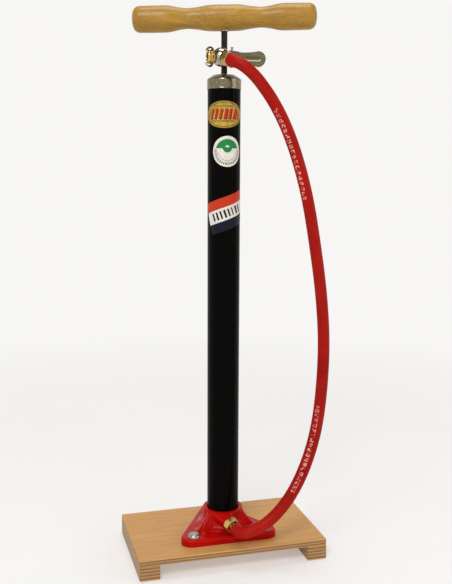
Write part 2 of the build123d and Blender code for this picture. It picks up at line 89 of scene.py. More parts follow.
# %% [markdown]
# ## Camera
# The pump is seen from in front, a little to the left and from above the middle, from about a
# metre away, so the board shows its top and the tube narrows slightly downwards. A long-ish lens
# keeps the verticals calm. Yaw, pitch and a slight roll give the camera three square directions,
# and they are the columns of its matrix.

# %% Camera
CAMERA_PLACE = (-0.2419, -0.8872, 0.4332)
CAMERA_YAW, CAMERA_PITCH, CAMERA_ROLL = (math.radians(a) for a in (15.56, 8.52, 0.23))
LENS_LENGTH, SENSOR_WIDTH = 51.98, 36


def matrix_of(right, up, back, place):
    """Three square directions and a place, as the columns of a matrix."""
    columns = np.eye(4)
    columns[:3] = np.column_stack([right, up, back, place])
    return Matrix(columns.tolist())


def camera_matrix(place, yaw, pitch, roll):
    """Looks along (sin yaw cos pitch, cos yaw cos pitch, -sin pitch), then turns about that by roll."""
    ahead = np.array([math.sin(yaw) * math.cos(pitch), math.cos(yaw) * math.cos(pitch), -math.sin(pitch)])
    level = np.array([math.cos(yaw), -math.sin(yaw), 0])
    above = np.cross(level, ahead)
    right = math.cos(roll) * level + math.sin(roll) * above
    up = math.cos(roll) * above - math.sin(roll) * level
    return matrix_of(right, up, -ahead, place)


lens = bpy.data.cameras.new("camera")
lens.lens = LENS_LENGTH
lens.sensor_width = SENSOR_WIDTH
lens.sensor_fit = "AUTO"
camera = bpy.data.objects.new("camera", lens)
camera.matrix_world = camera_matrix(CAMERA_PLACE, CAMERA_YAW, CAMERA_PITCH, CAMERA_ROLL)
bpy.context.scene.collection.objects.link(camera)
bpy.context.scene.camera = camera
bpy.context.scene.view_settings.view_transform = "Standard"
print("camera at", [round(c, 3) for c in camera.location])

# %% [markdown]
# ## How a surface is made
# Nearly every piece here is a stack of closed rings: a turned part is circles of changing radius,
# a tube is circles carried along a path, a plate is its outline shrunk and lifted. One function
# takes the rings as an array and joins neighbours with four-sided faces. The ends are closed by a
# fan to a middle point, so nothing is left open. A volume worked out from the faces tells whether
# they look outwards, and they are turned round if not.

# %% Surfaces from rings
def signed_volume(points, faces):
    """A sixth of the sum of a . (b x c) over triangles; it is positive when faces look outwards."""
    a, b, c = (points[faces[:, i]] for i in range(3))
    return float(np.einsum("ij,ij->i", a, np.cross(b, c)).sum()) / 6


def ring_faces(rings, count, closed):
    """Quads between ring i and i + 1 at places j and j + 1, with j going round."""
    i, j = np.meshgrid(np.arange(rings if closed else rings - 1), np.arange(count), indexing="ij")
    i, j = i.ravel(), j.ravel()
    steps = [(i, j), (i, j + 1), (i + 1, j + 1), (i + 1, j)]
    corners = np.stack([(a % rings) * count + b % count for a, b in steps], 1)
    places = np.stack([np.stack(step, 1) for step in steps], 1)
    return corners, places


def skin(name, rings, body, closed=False, uv=None, sharp=32):
    """rings[i, j] is point j of ring i, in millimetres. closed joins the last ring to the first;
    otherwise both ends get a fan to their mean point. uv is (u of each ring, v of each place),
    v one longer than the ring, so that the map has a clean seam."""
    rings = np.asarray(rings, float)
    n_rings, count = rings.shape[:2]
    points = rings.reshape(-1, 3) * MM
    quads, places = ring_faces(n_rings, count, closed)
    j = np.arange(count)
    fans = []
    if not closed:
        middles = np.stack([rings[0].mean(0), rings[-1].mean(0)]) * MM
        points = np.concatenate([points, middles])
        first, last = n_rings * count, n_rings * count + 1
        start = (n_rings - 1) * count
        fans = [
            np.stack([(j + 1) % count, j, np.full(count, first)], 1),
            np.stack([start + j, start + (j + 1) % count, np.full(count, last)], 1),
        ]
    triangles = np.concatenate([quads[:, [0, 1, 2]], quads[:, [0, 2, 3]], *fans])
    outward = signed_volume(points, triangles) > 0
    corners = np.concatenate([quads.ravel(), *[f.ravel() for f in fans]]).astype(np.int32)
    sizes = np.concatenate([np.full(len(quads), 4), *[np.full(len(f), 3) for f in fans]])
    starts = np.concatenate([[0], np.cumsum(sizes)[:-1]]).astype(np.int32)
    mesh = bpy.data.meshes.new(name)
    mesh.vertices.add(len(points))
    mesh.vertices.foreach_set("co", points.astype(np.float32).ravel())
    mesh.loops.add(len(corners))
    mesh.loops.foreach_set("vertex_index", corners)
    mesh.polygons.add(len(sizes))
    mesh.polygons.foreach_set("loop_start", starts)
    mesh.update(calc_edges=True)
    if uv is not None:
        u, v = np.asarray(uv[0], float), np.asarray(uv[1], float)
        flat = places.reshape(-1, 2)
        pairs = np.stack([u[flat[:, 0] % len(u)], v[flat[:, 1]]], 1)
        rest = len(corners) - len(pairs)
        pairs = np.concatenate([pairs, np.zeros((rest, 2))])
        mesh.uv_layers.new(name="map").data.foreach_set("uv", pairs.astype(np.float32).ravel())
    if not outward:
        mesh.flip_normals()
    mesh.validate()
    return place_piece(name, mesh, body, sharp)


def place_piece(name, mesh, body, sharp=32):
    """Smooth faces with edges kept crisp past the sharp angle; the piece rides on its CAD body."""
    mesh.shade_smooth()
    mesh.set_sharp_from_angle(angle=math.radians(sharp))
    piece = bpy.data.objects.new(name, mesh)
    bpy.context.scene.collection.objects.link(piece)
    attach(piece, body)
    print(f"{name}: {len(mesh.vertices)} points, {len(mesh.polygons)} faces")
    return piece


def frame_of(along, hint):
    """Two directions square to the one given: the hint made square to it, and their cross product."""
    along = np.asarray(along, float) / np.linalg.norm(along)
    side = np.asarray(hint, float) - np.dot(hint, along) * along
    side /= np.linalg.norm(side)
    return side, np.cross(along, side)


def circle_about(along, hint, sides):
    """The axis at unit length, the angles, and the direction square to the axis at each of them."""
    side, other = frame_of(along, hint)
    along = np.asarray(along, float) / np.linalg.norm(along)
    angle = np.linspace(0, 2 * np.pi, sides, endpoint=False)
    return along, angle, np.cos(angle)[:, None] * side + np.sin(angle)[:, None] * other


def turned(
    name, profile, body, centre=(0, AXIS_Y, 0), along=(0, 0, 1), sides=96, hint=(1, 0.3, 0.1), closed=False
):
    """A lathe: each (s, r) of the profile is a circle of radius r, s millimetres along the axis.
    A closed profile is a loop, so the piece is hollow right through."""
    along, _, circle = circle_about(along, hint, sides)
    s, r = np.asarray(profile, float).T
    rings = np.asarray(centre, float) + s[:, None, None] * along + r[:, None, None] * circle[None]
    return skin(name, rings, body, closed=closed)


def rounded(points, radius, steps=5):
    """Each inner corner of an open profile is cut back by radius and replaced by a quadratic curve
    (1 - t)^2 a + 2 t (1 - t) corner + t^2 b."""
    points = np.asarray(points, float)
    t = np.linspace(0, 1, steps)[:, None]
    parts = [points[:1]]
    for before, corner, after in zip(points, points[1:], points[2:]):
        to_before, to_after = before - corner, after - corner
        cut_a = min(radius, 0.45 * np.linalg.norm(to_before)) / np.linalg.norm(to_before)
        cut_b = min(radius, 0.45 * np.linalg.norm(to_after)) / np.linalg.norm(to_after)
        a, b = corner + to_before * cut_a, corner + to_after * cut_b
        parts.append((1 - t) ** 2 * a + 2 * t * (1 - t) * corner + t**2 * b)
    parts.append(points[-1:])
    return np.concatenate(parts)


def smoothstep(x, low, high):
    """0 below low, 1 above high, and 3t^2 - 2t^3 between."""
    t = np.clip((x - low) / (high - low), 0, 1)
    return t * t * (3 - 2 * t)


print("ring surfaces ready")

# %% [markdown]
# ## How a finish is made
# Every material is a small graph of nodes. One function adds a node, sets its options and joins
# its inputs: an input is given either a value or the output socket of another node.

# %% Shader nodes
def feed(tree, node, inputs):
    """Each input, by its name or number, takes a value or is joined to another node's output."""
    for key, value in inputs.items():
        if isinstance(value, bpy.types.NodeSocket):
            tree.links.new(value, node.inputs[key])
        else:
            node.inputs[key].default_value = value


def add(tree, kind, inputs=None, **settings):
    """A new node with its settings and inputs."""
    made = tree.nodes.new(kind)
    for key, value in settings.items():
        setattr(made, key, value)
    feed(tree, made, inputs or {})
    return made


def finish_start(name):
    """A new material's tree, its Principled shader and the object coordinates in metres."""
    material = bpy.data.materials.new(name)
    material.use_nodes = True
    tree = material.node_tree
    shader = tree.nodes["Principled BSDF"]
    coords = add(tree, "ShaderNodeTexCoord")
    return material, tree, shader, coords


def scaled(tree, source, scale, turn=(0, 0, 0)):
    """Coordinates turned and scaled."""
    return add(tree, "ShaderNodeMapping", {0: source, "Rotation": turn, "Scale": scale}).outputs[0]


def noise(tree, coords, scale, detail=3, roughness=0.55, distortion=0.0):
    """Fractal noise between about 0.3 and 0.7, scale cells to a metre."""
    values = {"Vector": coords, "Scale": scale, "Detail": detail}
    values |= {"Roughness": roughness, "Distortion": distortion}
    return add(tree, "ShaderNodeTexNoise", values).outputs[0]


def remap(tree, value, low, high, to_low=0.0, to_high=1.0):
    """A value moved from one range to another and held there."""
    values = {"Value": value, "From Min": low, "From Max": high, "To Min": to_low, "To Max": to_high}
    return add(tree, "ShaderNodeMapRange", values).outputs[0]


def maths(tree, operation, *values):
    """One arithmetic step on numbers."""
    return add(tree, "ShaderNodeMath", dict(enumerate(values)), operation=operation).outputs[0]


def product(tree, first, *others):
    """All the numbers multiplied together; of marks that are 0 or 1, where they all are 1."""
    for other in others:
        first = maths(tree, "MULTIPLY", first, other)
    return first


def band(tree, value, low, high):
    """1 where low < value < high."""
    return product(tree, maths(tree, "GREATER_THAN", value, low), maths(tree, "LESS_THAN", value, high))


def mixed(tree, share, first, second):
    """Two colours mixed by share; a hex text is turned to a linear colour."""
    first, second = (linear(c) if isinstance(c, str) else c for c in (first, second))
    return add(tree, "ShaderNodeMix", {0: share, 6: first, 7: second}, data_type="RGBA").outputs[2]


def relief(tree, shader, height, depth_mm, strength=1.0):
    """Bump: the height, 0 to 1, stands for depth_mm of real relief."""
    values = {"Height": height, "Distance": depth_mm * MM, "Strength": strength}
    tree.links.new(add(tree, "ShaderNodeBump", values).outputs[0], shader.inputs["Normal"])


def dress(piece, material):
    """The piece wears this material alone."""
    piece.data.materials.clear()
    piece.data.materials.append(material)


print("shader helpers ready")

# %% [markdown]
# ## Hose
# The hose is a fixed length of moulded rubber, 581 mm from fitting to fitting. It leaves the
# outlet pointing at the viewer, swings out to the right, rises in one long bow and comes back to
# the head. Its line is a smooth spline with the route's points as its control points, and a tube
# with a little swelling at both pushed-on ends is carried along the line that Blender reads off it.

# %% Hose line
HOSE_ROUTE = [
    (2.68, -47.85, 40.67),
    (5.0, -54.24, 38.85),
    (9.55, -59.6, 39.4),
    (16.23, -63.27, 42.69),
    (30.53, -63.19, 46.91),
    (47.0, -62.5, 59.2),
    (63.3, -63.0, 79.6),
    (78.4, -63.0, 110.0),
    (90.0, -63.0, 149.0),
    (95.5, -63.0, 196.0),
    (97.0, -63.0, 248.0),
    (92.4, -63.0, 301.0),
    (84.3, -63.0, 352.0),
    (75.8, -62.5, 398.5),
    (64.8, -61.5, 438.5),
    (52.2, -60.0, 472.0),
    (38.3, -57.5, 498.5),
    (24.1, -54.0, 518.5),
    (15.2, -51.8, 528.0),
    (7.4, -48.5, 534.3),
    (1.31, -44.08, 537.95),
    (-1.49, -36.66, 539.94),
]
HOSE_RADIUS = 6.3

route_curve = bpy.data.curves.new("hose_route", "CURVE")
route_curve.dimensions = "3D"
route_curve.resolution_u = 16
route_spline = route_curve.splines.new("NURBS")
route_spline.points.add(len(HOSE_ROUTE) - 1)
for control, place in zip(route_spline.points, HOSE_ROUTE):
    control.co = (*[c * MM for c in place], 1)
route_spline.order_u = 3
route_spline.use_endpoint_u = True
route_object = bpy.data.objects.new("hose_route", route_curve)
bpy.context.scene.collection.objects.link(route_object)
bpy.context.view_layer.update()
route_mesh = bpy.data.meshes.new_from_object(route_object)
hose_line = np.array([v.co for v in route_mesh.vertices]) / MM
bpy.data.objects.remove(route_object)
bpy.data.meshes.remove(route_mesh)
steps = np.linalg.norm(np.diff(hose_line, axis=0), axis=1)
hose_line = hose_line[np.concatenate([[True], steps > 1e-3])]
hose_reach = np.concatenate([[0], np.cumsum(np.linalg.norm(np.diff(hose_line, axis=0), axis=1))])
print("hose line:", len(hose_line), "points,", round(float(hose_reach[-1]), 1), "mm")

# %% [markdown]
# A circle is carried along that line. The tube swells a little over the barb at each end, and its
# two cut ends are rounded in.

# %% Hose tube
BARB_SWELL, CUT_ROUNDING, HEAD_TAPER = 0.8, 0.7, 0.3
END_LENGTH = 2.6  # millimetres at each end that have their own, closer rings


def tube(name, line, reach, radius_at, body, sides=48, loop_centre=(20.0, 0.0, 290.0)):
    """A circle square to the path at each of its points. Its first direction always looks towards
    the middle of the loop, so the map's v runs evenly along the whole length."""
    along = np.gradient(line, reach, axis=0)
    along /= np.linalg.norm(along, axis=1)[:, None]
    inward = np.asarray(loop_centre) - line
    side = inward - np.einsum("ij,ij->i", inward, along)[:, None] * along
    side /= np.linalg.norm(side, axis=1)[:, None]
    other = np.cross(along, side)
    angle = np.linspace(0, 2 * np.pi, sides, endpoint=False)
    circle = np.cos(angle)[None, :, None] * side[:, None] + np.sin(angle)[None, :, None] * other[:, None]
    rings = line[:, None] + radius_at(reach)[:, None, None] * circle
    return skin(name, rings, body, uv=(reach, np.linspace(0, 1, sides + 1)))


def hose_radius_at(reach):
    """The tube's radius: over each barb, at the two cut ends, and a little slimmer to the head."""
    from_end = np.minimum(reach, reach[-1] - reach)
    swell = BARB_SWELL * (1 - smoothstep(from_end, 4.0, 12.0))
    lip = CUT_ROUNDING * (1 - smoothstep(from_end, 0.0, 1.1))
    taper = HEAD_TAPER * (reach / reach[-1] - 0.5)
    return HOSE_RADIUS + swell - lip - taper


lip_steps = np.array([0, 0.15, 0.4, 0.75, 1.2, 2.0])
inner_reach = hose_reach[(hose_reach > END_LENGTH) & (hose_reach < hose_reach[-1] - END_LENGTH)]
ring_reach = np.concatenate([lip_steps, inner_reach, hose_reach[-1] - lip_steps[::-1]])
ring_line = np.stack([np.interp(ring_reach, hose_reach, hose_line[:, k]) for k in range(3)], 1)
rubber_hose = tube("rubber_hose", ring_line, ring_reach, hose_radius_at, "stand")
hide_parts("hose")

# %% [markdown]
# The finish is moulded red rubber: a soft sheen, faint cloudiness from handling and a very fine
# skin texture. Along the side towards the viewer runs a pale printed line of small marks in two
# stretches, worn in places. They are drawn as blocks that say nothing, on the tube's own map,
# whose u is millimetres along the hose and v is the share of a turn.

# %% Rubber finish
PRINT_STRETCHES = ((86.0, 186.0), (410.0, 508.0))  # millimetres along the hose
PRINT_PLACE = 0.23  # share of a turn from the side that faces the loop's middle
PRINT_PITCH, PRINT_HEIGHT = 5.6, 4.4
CELL_COLUMNS, CELL_ROWS = 4.4, 4.0
CELL_FILLED = 0.70  # the share of a cell that holds marks, before the gap to the next
INK_ABOVE = 0.42


def printed_marks(tree, u, v):
    """1 where ink is: cells along the hose, each of about three columns and four rows, with a
    little over half of the bits inked."""
    across = product(tree, maths(tree, "SUBTRACT", v, PRINT_PLACE), 2 * math.pi * HOSE_RADIUS)
    row = maths(tree, "DIVIDE", maths(tree, "ADD", across, PRINT_HEIGHT / 2), PRINT_HEIGHT)
    cell = maths(tree, "DIVIDE", u, PRINT_PITCH)
    place = maths(tree, "FRACT", cell)
    column = maths(tree, "FLOOR", product(tree, place, CELL_COLUMNS))
    line = maths(tree, "FLOOR", product(tree, row, CELL_ROWS))
    bit = add(tree, "ShaderNodeCombineXYZ", {0: maths(tree, "FLOOR", cell), 1: column, 2: line})
    chance = add(tree, "ShaderNodeTexWhiteNoise", {"Vector": bit.outputs[0]}, noise_dimensions="3D")
    ink = maths(tree, "GREATER_THAN", chance.outputs["Value"], INK_ABOVE)
    filled = maths(tree, "LESS_THAN", place, CELL_FILLED)
    where = maths(tree, "ADD", *[band(tree, u, start, end) for start, end in PRINT_STRETCHES])
    return product(tree, ink, filled, band(tree, row, 0.0, 1.0), where)


def moulded_rubber(name, base, dark, pale, marks):
    """Rubber: a broad soft highlight, a dull bloom in patches and grain about a millimetre across."""
    material, tree, shader, coords = finish_start(name)
    place = coords.outputs["Object"]
    cloud = remap(tree, noise(tree, place, 18, 4), 0.35, 0.65)
    colour = mixed(tree, cloud, dark, base)
    bloom = remap(tree, noise(tree, place, 70, 3), 0.52, 0.75, 0.0, 0.25)
    colour = mixed(tree, bloom, colour, pale)
    if marks:
        split = add(tree, "ShaderNodeSeparateXYZ", {0: coords.outputs["UV"]})
        ink = printed_marks(tree, split.outputs[0], split.outputs[1])
        worn = remap(tree, noise(tree, place, 260, 2), 0.38, 0.5, 0.25, 0.85)
        colour = mixed(tree, product(tree, ink, worn), colour, "#D99A8C")
    rough = remap(tree, noise(tree, place, 120, 3), 0.35, 0.65, 0.36, 0.5)
    feed(tree, shader, {"Base Color": colour, "Roughness": rough, "Specular IOR Level": 0.08})
    relief(tree, shader, noise(tree, place, 1300, 2), 0.05, 0.5)
    return material


red_rubber = moulded_rubber("Moulded_Red_Rubber", "#A01309", "#8C0D06", "#A63022", True)
dress(rubber_hose, red_rubber)
print("printed stretches:", PRINT_STRETCHES)

# %% [markdown]
# ## Board and battens
# The board is birch plywood, 7 mm thick, sawn square and lightly sanded. Its shape is the outline
# of a rounded rectangle stacked in rings: in from the middle of the underside, round the sanded
# arris, up the edge, over the top arris and back to the middle of the top. The battens beneath
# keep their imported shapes, with their screw holes.

# %% Board shape
def rounded_rectangle(length, depth, radius, steps=7):
    """Four quarter circles joined by the straight sides, going round once."""
    turn = np.linspace(0, np.pi / 2, steps)
    corners = [(1, 1, 0), (-1, 1, 1), (-1, -1, 2), (1, -1, 3)]
    parts = []
    for side_x, side_y, quarter in corners:
        angle = turn + quarter * np.pi / 2
        centre = (side_x * (length / 2 - radius), side_y * (depth / 2 - radius))
        parts.append(np.stack([centre[0] + radius * np.cos(angle), centre[1] + radius * np.sin(angle)], 1))
    return np.concatenate(parts)


def plate(name, outline_at, levels, body):
    """Rings of one outline: outline_at(inset) is the outline drawn in by inset, at height z."""
    rings = []
    for inset, z in levels:
        outline = outline_at(inset)
        rings.append(np.column_stack([outline, np.full(len(outline), z)]))
    return skin(name, rings, body)


board_low, board_high = (np.array(c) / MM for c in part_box("base_board"))
board_size = board_high - board_low
arris = 0.7
ease = [(arris * (1 - math.sin(a)), arris * (1 - math.cos(a))) for a in np.linspace(0, math.pi / 2, 5)]
board_levels = [(30.0, board_low[2]), (5.0, board_low[2])]
board_levels += [(inset, board_low[2] + rise) for inset, rise in ease]
board_levels += [(inset, board_high[2] - rise) for inset, rise in reversed(ease)]
board_levels += [(5.0, board_high[2]), (30.0, board_high[2])]


def board_outline(inset):
    """The board's outline drawn in by inset; its corners get tighter but never quite sharp."""
    length, depth = board_size[:2] - 2 * inset
    return rounded_rectangle(length, depth, max(0.9, 1.6 - inset * 0.5))


plywood_board = plate("plywood_board", board_outline, board_levels, "stand")
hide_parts("base_board")

# %% [markdown]
# Birch veneer has long fine grain with slightly darker streaks and a clear varnish that has gone
# warm. On the sawn edge the plies show as bands, light where the grain runs along the edge and
# dark and speckled where it is cut across, with thin dark glue lines between.

# %% Wood finishes
def grain(tree, place, across_mm, along_mm, turn=(0, 0, 0)):
    """Noise drawn out along one direction: fibres across_mm apart and along_mm long."""
    scale = (1 / (along_mm * MM), 1 / (across_mm * MM), 1 / (across_mm * MM))
    return scaled(tree, place, scale, turn=turn)


def varnished_wood(name, light, mid, dark, turn, fibre, long, gloss, coat=0.0, streak=0.45):
    """Streaks of two widths along the grain, pores as short dark dashes, under a thin varnish."""
    material, tree, shader, coords = finish_start(name)
    place = coords.outputs["Object"]
    fine = noise(tree, grain(tree, place, fibre, long, turn), 1, 3)
    broad = noise(tree, grain(tree, place, fibre * 8, long * 5, turn), 1, 3, distortion=0.6)
    pores = remap(tree, noise(tree, grain(tree, place, fibre * 0.45, long * 0.25, turn), 1, 2), 0.6, 0.72)
    colour = mixed(tree, remap(tree, broad, 0.32, 0.68), mid, light)
    colour = mixed(tree, remap(tree, fine, 0.35, 0.7, 0.0, streak), colour, dark)
    colour = mixed(tree, product(tree, pores, 0.3), colour, dark)
    return material, tree, shader, place, colour, fine, gloss, coat


def close_wood(parts):
    """Joins the worked-out colour to the shader, with varnish gloss and fibre relief."""
    material, tree, shader, place, colour, fine, gloss, coat = parts
    rough = remap(tree, fine, 0.3, 0.7, gloss - 0.06, gloss + 0.1)
    feed(tree, shader, {"Base Color": colour, "Roughness": rough, "Specular IOR Level": 0.25})
    feed(tree, shader, {"Coat Weight": coat, "Coat Roughness": 0.12})
    relief(tree, shader, fine, 0.06, 0.4)
    return material


def birch_plywood(name, low, high, ply, tones, turn=(0, 0, 0)):
    """Veneer on top and beneath; between them, bands by height, each ply millimetres thick, every
    other one cut across its grain, with a thin dark glue line between them."""
    parts = list(varnished_wood(name, *tones, turn=turn, fibre=0.7, long=14, gloss=0.42, streak=0.3))
    tree, place = parts[1], parts[3]
    height = add(tree, "ShaderNodeSeparateXYZ", {0: place}).outputs[2]
    layer = maths(tree, "DIVIDE", maths(tree, "SUBTRACT", height, low * MM), ply * MM)
    crossed = maths(tree, "MODULO", maths(tree, "FLOOR", layer), 2.0)
    in_layer = maths(tree, "FRACT", layer)
    glue_below = maths(tree, "LESS_THAN", in_layer, 0.14)
    glue = maths(tree, "MAXIMUM", glue_below, maths(tree, "GREATER_THAN", in_layer, 0.93))
    speckle = remap(tree, noise(tree, scaled(tree, place, (900, 900, 1600)), 1, 2), 0.35, 0.65)
    cut_end = mixed(tree, speckle, "#80583A", "#987048")
    along = mixed(tree, remap(tree, parts[5], 0.3, 0.7), "#AA8054", "#BE9866")
    edge = mixed(tree, crossed, along, cut_end)
    edge = mixed(tree, product(tree, glue, 0.7), edge, "#5E3C1E")
    top = maths(tree, "GREATER_THAN", height, (high - 0.75) * MM)
    bottom = maths(tree, "LESS_THAN", height, (low + 0.3) * MM)
    parts[4] = mixed(tree, maths(tree, "MAXIMUM", top, bottom), edge, parts[4])
    return close_wood(parts)


BOARD_TONES, BATTEN_TONES = ("#CF9B5C", "#C38E50", "#9E6B36"), ("#BE9058", "#B08048", "#8A5A30")
plywood = birch_plywood("Varnished_Birch_Plywood", board_low[2], board_high[2], 1.4, BOARD_TONES)
batten_wood = birch_plywood("Varnished_Batten", 0.0, board_low[2], 1.8, BATTEN_TONES, (0, 0, math.pi / 2))
dress(plywood_board, plywood)
for node in ("left_batten", "right_batten"):
    dress(frame["nodes"][node], batten_wood)
print("wood on", plywood_board.name)

# %% [markdown]
# ## Cast foot
# The foot is one iron casting: a three-cornered plate with soft corners, a collar that grips the
# tube, a hollow curve where the collar meets the plate, a ridge running out to each bolt and a
# boss for the outlet. Seen from above it is one surface round the barrel's axis: for each angle a
# curve runs in from the plate's edge to the collar, and ridges and boss are smooth swellings of it.

# %% Foot shape
FOOT_CORNERS = np.array([(-42.0, -34.0), (42.0, -34.0), (0.0, 41.0)])
FOOT_CORNER_RADIUS = 12.0
PLATE_LOW, PLATE_TOP = 23.0, 31.0
COLLAR_RADIUS, COLLAR_TOP = 22.4, 51.7
FLARE_START, FLARE_RISE = 34.0, 12.0
OUTLET_FACE = np.array([1.62, -44.95, 41.5])
OUTLET_LEAN, OUTLET_DROOP = math.radians(20), math.radians(15)
OUTLET_WAY = np.array([math.sin(OUTLET_LEAN), -math.cos(OUTLET_LEAN), -math.tan(OUTLET_DROOP)])
OUTLET_WAY *= math.cos(OUTLET_DROOP)
BOSS_RADIUS = 7.0
BOSS_DEPTH = 7.5  # the boss's flat face lies this far behind the nut's outer face
ARC_STEPS = 40
PLATE_ROUNDING = 2.4
RIDGE_HEIGHT, RIDGE_WIDTH, RIDGE_REACH, RIDGE_BEND = 18.5, 6.4, 41.0, 1.15


def foot_outline(angle):
    """Distance from the barrel's axis to the plate's edge: corner arcs joined by straight runs."""
    arcs = []
    for i, here in enumerate(FOOT_CORNERS):
        edge_in = here - FOOT_CORNERS[(i + 2) % 3]
        edge_out = FOOT_CORNERS[(i + 1) % 3] - here
        start = math.atan2(-edge_in[0], edge_in[1])
        end = math.atan2(-edge_out[0], edge_out[1])
        turn = np.linspace(start, start + (end - start) % (2 * np.pi), ARC_STEPS)
        arcs.append(here + FOOT_CORNER_RADIUS * np.stack([np.cos(turn), np.sin(turn)], 1))
    runs = [np.linspace(arcs[i][-1], arcs[(i + 1) % 3][0], ARC_STEPS)[1:-1] for i in range(3)]
    ring = np.concatenate([part for pair in zip(arcs, runs) for part in pair]) - (0, AXIS_Y)
    bearing = np.arctan2(ring[:, 1], ring[:, 0])
    order = np.argsort(bearing)
    return np.interp(angle, bearing[order], np.hypot(ring[:, 0], ring[:, 1])[order], period=2 * np.pi)


def foot_surface(columns=420):
    """Rows of (r, z) for every bearing: under the plate, up its edge, in over its top and the
    hollow flare, up the collar, over its rim and down inside. A ridge's lift falls off as
    exp(-(d / w)^2) with the distance d from its crest, and joins the flare's as hypot does."""
    bearing = np.linspace(-np.pi, np.pi, columns, endpoint=False)
    edge = foot_outline(bearing)

    def row(r, z):
        """A plain number holds all the way round."""
        return np.broadcast_to(r, columns), np.broadcast_to(z, columns)

    rows = [row(edge * 0.5, PLATE_LOW), row(edge - 1.0, PLATE_LOW)]
    rows += [row(edge - 0.25, PLATE_LOW + 0.05), row(edge, PLATE_LOW + 0.5)]
    rows += [row(edge, z) for z in (25.0, 27.0)]
    for turn in np.linspace(0, np.pi / 2, 7):
        drop = PLATE_ROUNDING * (1 - np.sin(turn))
        rows.append(row(edge - PLATE_ROUNDING * (1 - np.cos(turn)), PLATE_TOP - drop))
    inner = np.minimum(FLARE_START, edge - PLATE_ROUNDING - 0.2)
    for share in np.linspace(0.06, 1, 26):
        rows.append(row((edge - PLATE_ROUNDING) * (1 - share) + inner * share, PLATE_TOP))
    for turn in np.linspace(0.06, np.pi / 2, 26):
        drawn_in = inner - (inner - COLLAR_RADIUS) * np.sin(turn)
        rows.append(row(drawn_in, PLATE_TOP + FLARE_RISE * (1 - np.cos(turn))))
    r, z = (np.array(part) for part in zip(*rows))
    for corner in FOOT_CORNERS - (0, AXIS_Y):
        away = bearing - math.atan2(corner[1], corner[0])
        beside, outward = r * np.sin(away), r * np.cos(away)
        nearness = np.clip((RIDGE_REACH - r) / (RIDGE_REACH - COLLAR_RADIUS), 0, 1)
        crest = PLATE_TOP + RIDGE_HEIGHT * nearness**RIDGE_BEND
        lift = (crest - PLATE_TOP) * np.exp(-((beside / RIDGE_WIDTH) ** 2))
        lift = lift * (outward > 0) * (z > PLATE_TOP - 1e-6)
        z = np.where(lift > 0, PLATE_TOP + np.hypot(z - PLATE_TOP, lift), z)
    z = np.minimum(z, COLLAR_TOP - 1.6)
    wall_foot, wall_top = z[-1], COLLAR_TOP - 1.0
    extra = [row(COLLAR_RADIUS, wall_foot + (wall_top - wall_foot) * s) for s in np.linspace(0.1, 1, 12)]
    over = np.linspace(0.3, math.pi / 2, 5)
    rim = [(COLLAR_RADIUS - 1.0 + math.cos(t), wall_top + math.sin(t)) for t in over]
    rim += [(18.4, COLLAR_TOP), (17.9, COLLAR_TOP - 0.15), (17.55, COLLAR_TOP - 0.7)]
    rim += [(17.52, 46.0), (17.52, 41.0), (9.0, 41.0)]
    extra += [row(a, b) for a, b in rim]
    r, z = (np.concatenate([before, np.array(part)]) for before, part in zip((r, z), zip(*extra)))
    return np.stack([r * np.cos(bearing), AXIS_Y + r * np.sin(bearing), z], -1)


def with_boss(points):
    """Points near the outlet's line move out along it, to the boss's flat face."""
    offset = points - OUTLET_FACE
    along = offset @ OUTLET_WAY
    beside = np.linalg.norm(offset - along[..., None] * OUTLET_WAY, axis=-1)
    gap = -BOSS_DEPTH - along
    share = 1 - smoothstep(beside, BOSS_RADIUS - 0.6, BOSS_RADIUS + 3.0)
    outer = np.linalg.norm(points[..., :2] - (0, AXIS_Y), axis=-1) > COLLAR_RADIUS - 0.2
    share = share * outer * (along > -30) * (gap > 0) * (points[..., 2] > PLATE_TOP - 1e-6)
    return points + (gap * share)[..., None] * OUTLET_WAY


cast_foot = skin("cast_foot", with_boss(foot_surface()), "stand", sharp=50)
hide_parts("foot_casting")

# %% [markdown]
# The casting wears stoved red enamel: very glossy, in two close tones in slow patches, over the slightly wavy
# skin of sand-cast iron.

# %% Enamel finishes
def stoved_enamel(name, base, deep, gloss, wave_mm, level):
    """Gloss paint over metal: two close tones in slow patches, faint ripples and a few dust nibs."""
    material, tree, shader, coords = finish_start(name)
    place = coords.outputs["Object"]
    colour = mixed(tree, remap(tree, noise(tree, place, 35, 3), 0.35, 0.65), deep, base)
    rough = remap(tree, noise(tree, place, 90, 4), 0.35, 0.65, gloss, gloss + 0.08)
    feed(tree, shader, {"Base Color": colour, "Roughness": rough, "Specular IOR Level": level})
    ripples = maths(tree, "ADD", noise(tree, place, 160, 2), product(tree, noise(tree, place, 900, 2), 0.2))
    relief(tree, shader, ripples, wave_mm)
    return material


red_enamel = stoved_enamel("Stoved_Red_Enamel", "#B40B07", "#A00806", 0.12, 0.05, level=0.09)
black_enamel = stoved_enamel("Stoved_Black_Enamel", "#040302", "#030202", 0.2, 0.004, level=0.04)
dress(cast_foot, red_enamel)
print("foot:", round(COLLAR_TOP - PLATE_LOW, 1), "mm tall")

# %% [markdown]
# ## Tube, cap and rod
# The barrel is drawn steel tube, the cap a pressed and plated shell rolled in under its lower
# edge, and the rod ground steel bar. All three are turned shapes, so each is a profile of height
# and radius carried round the axis.

# %% Turned steel parts
BARREL_RADIUS, BORE_RADIUS = 17.5, 16.0
BARREL_LOW, BARREL_HIGH = 44.0, 522.0


def tube_profile(low, high, outer, inner, soft=0.3):
    """Once round the wall of a plain tube, with its four corners taken off."""
    return [
        (low, inner + soft),
        (low, outer - soft),
        (low + soft, outer),
        *[(low + soft + (high - low - 2 * soft) * s, outer) for s in np.linspace(0.02, 0.98, 24)],
        (high - soft, outer),
        (high, outer - soft),
        (high, inner + soft),
        (high - soft, inner),
        (low + soft, inner),
    ]


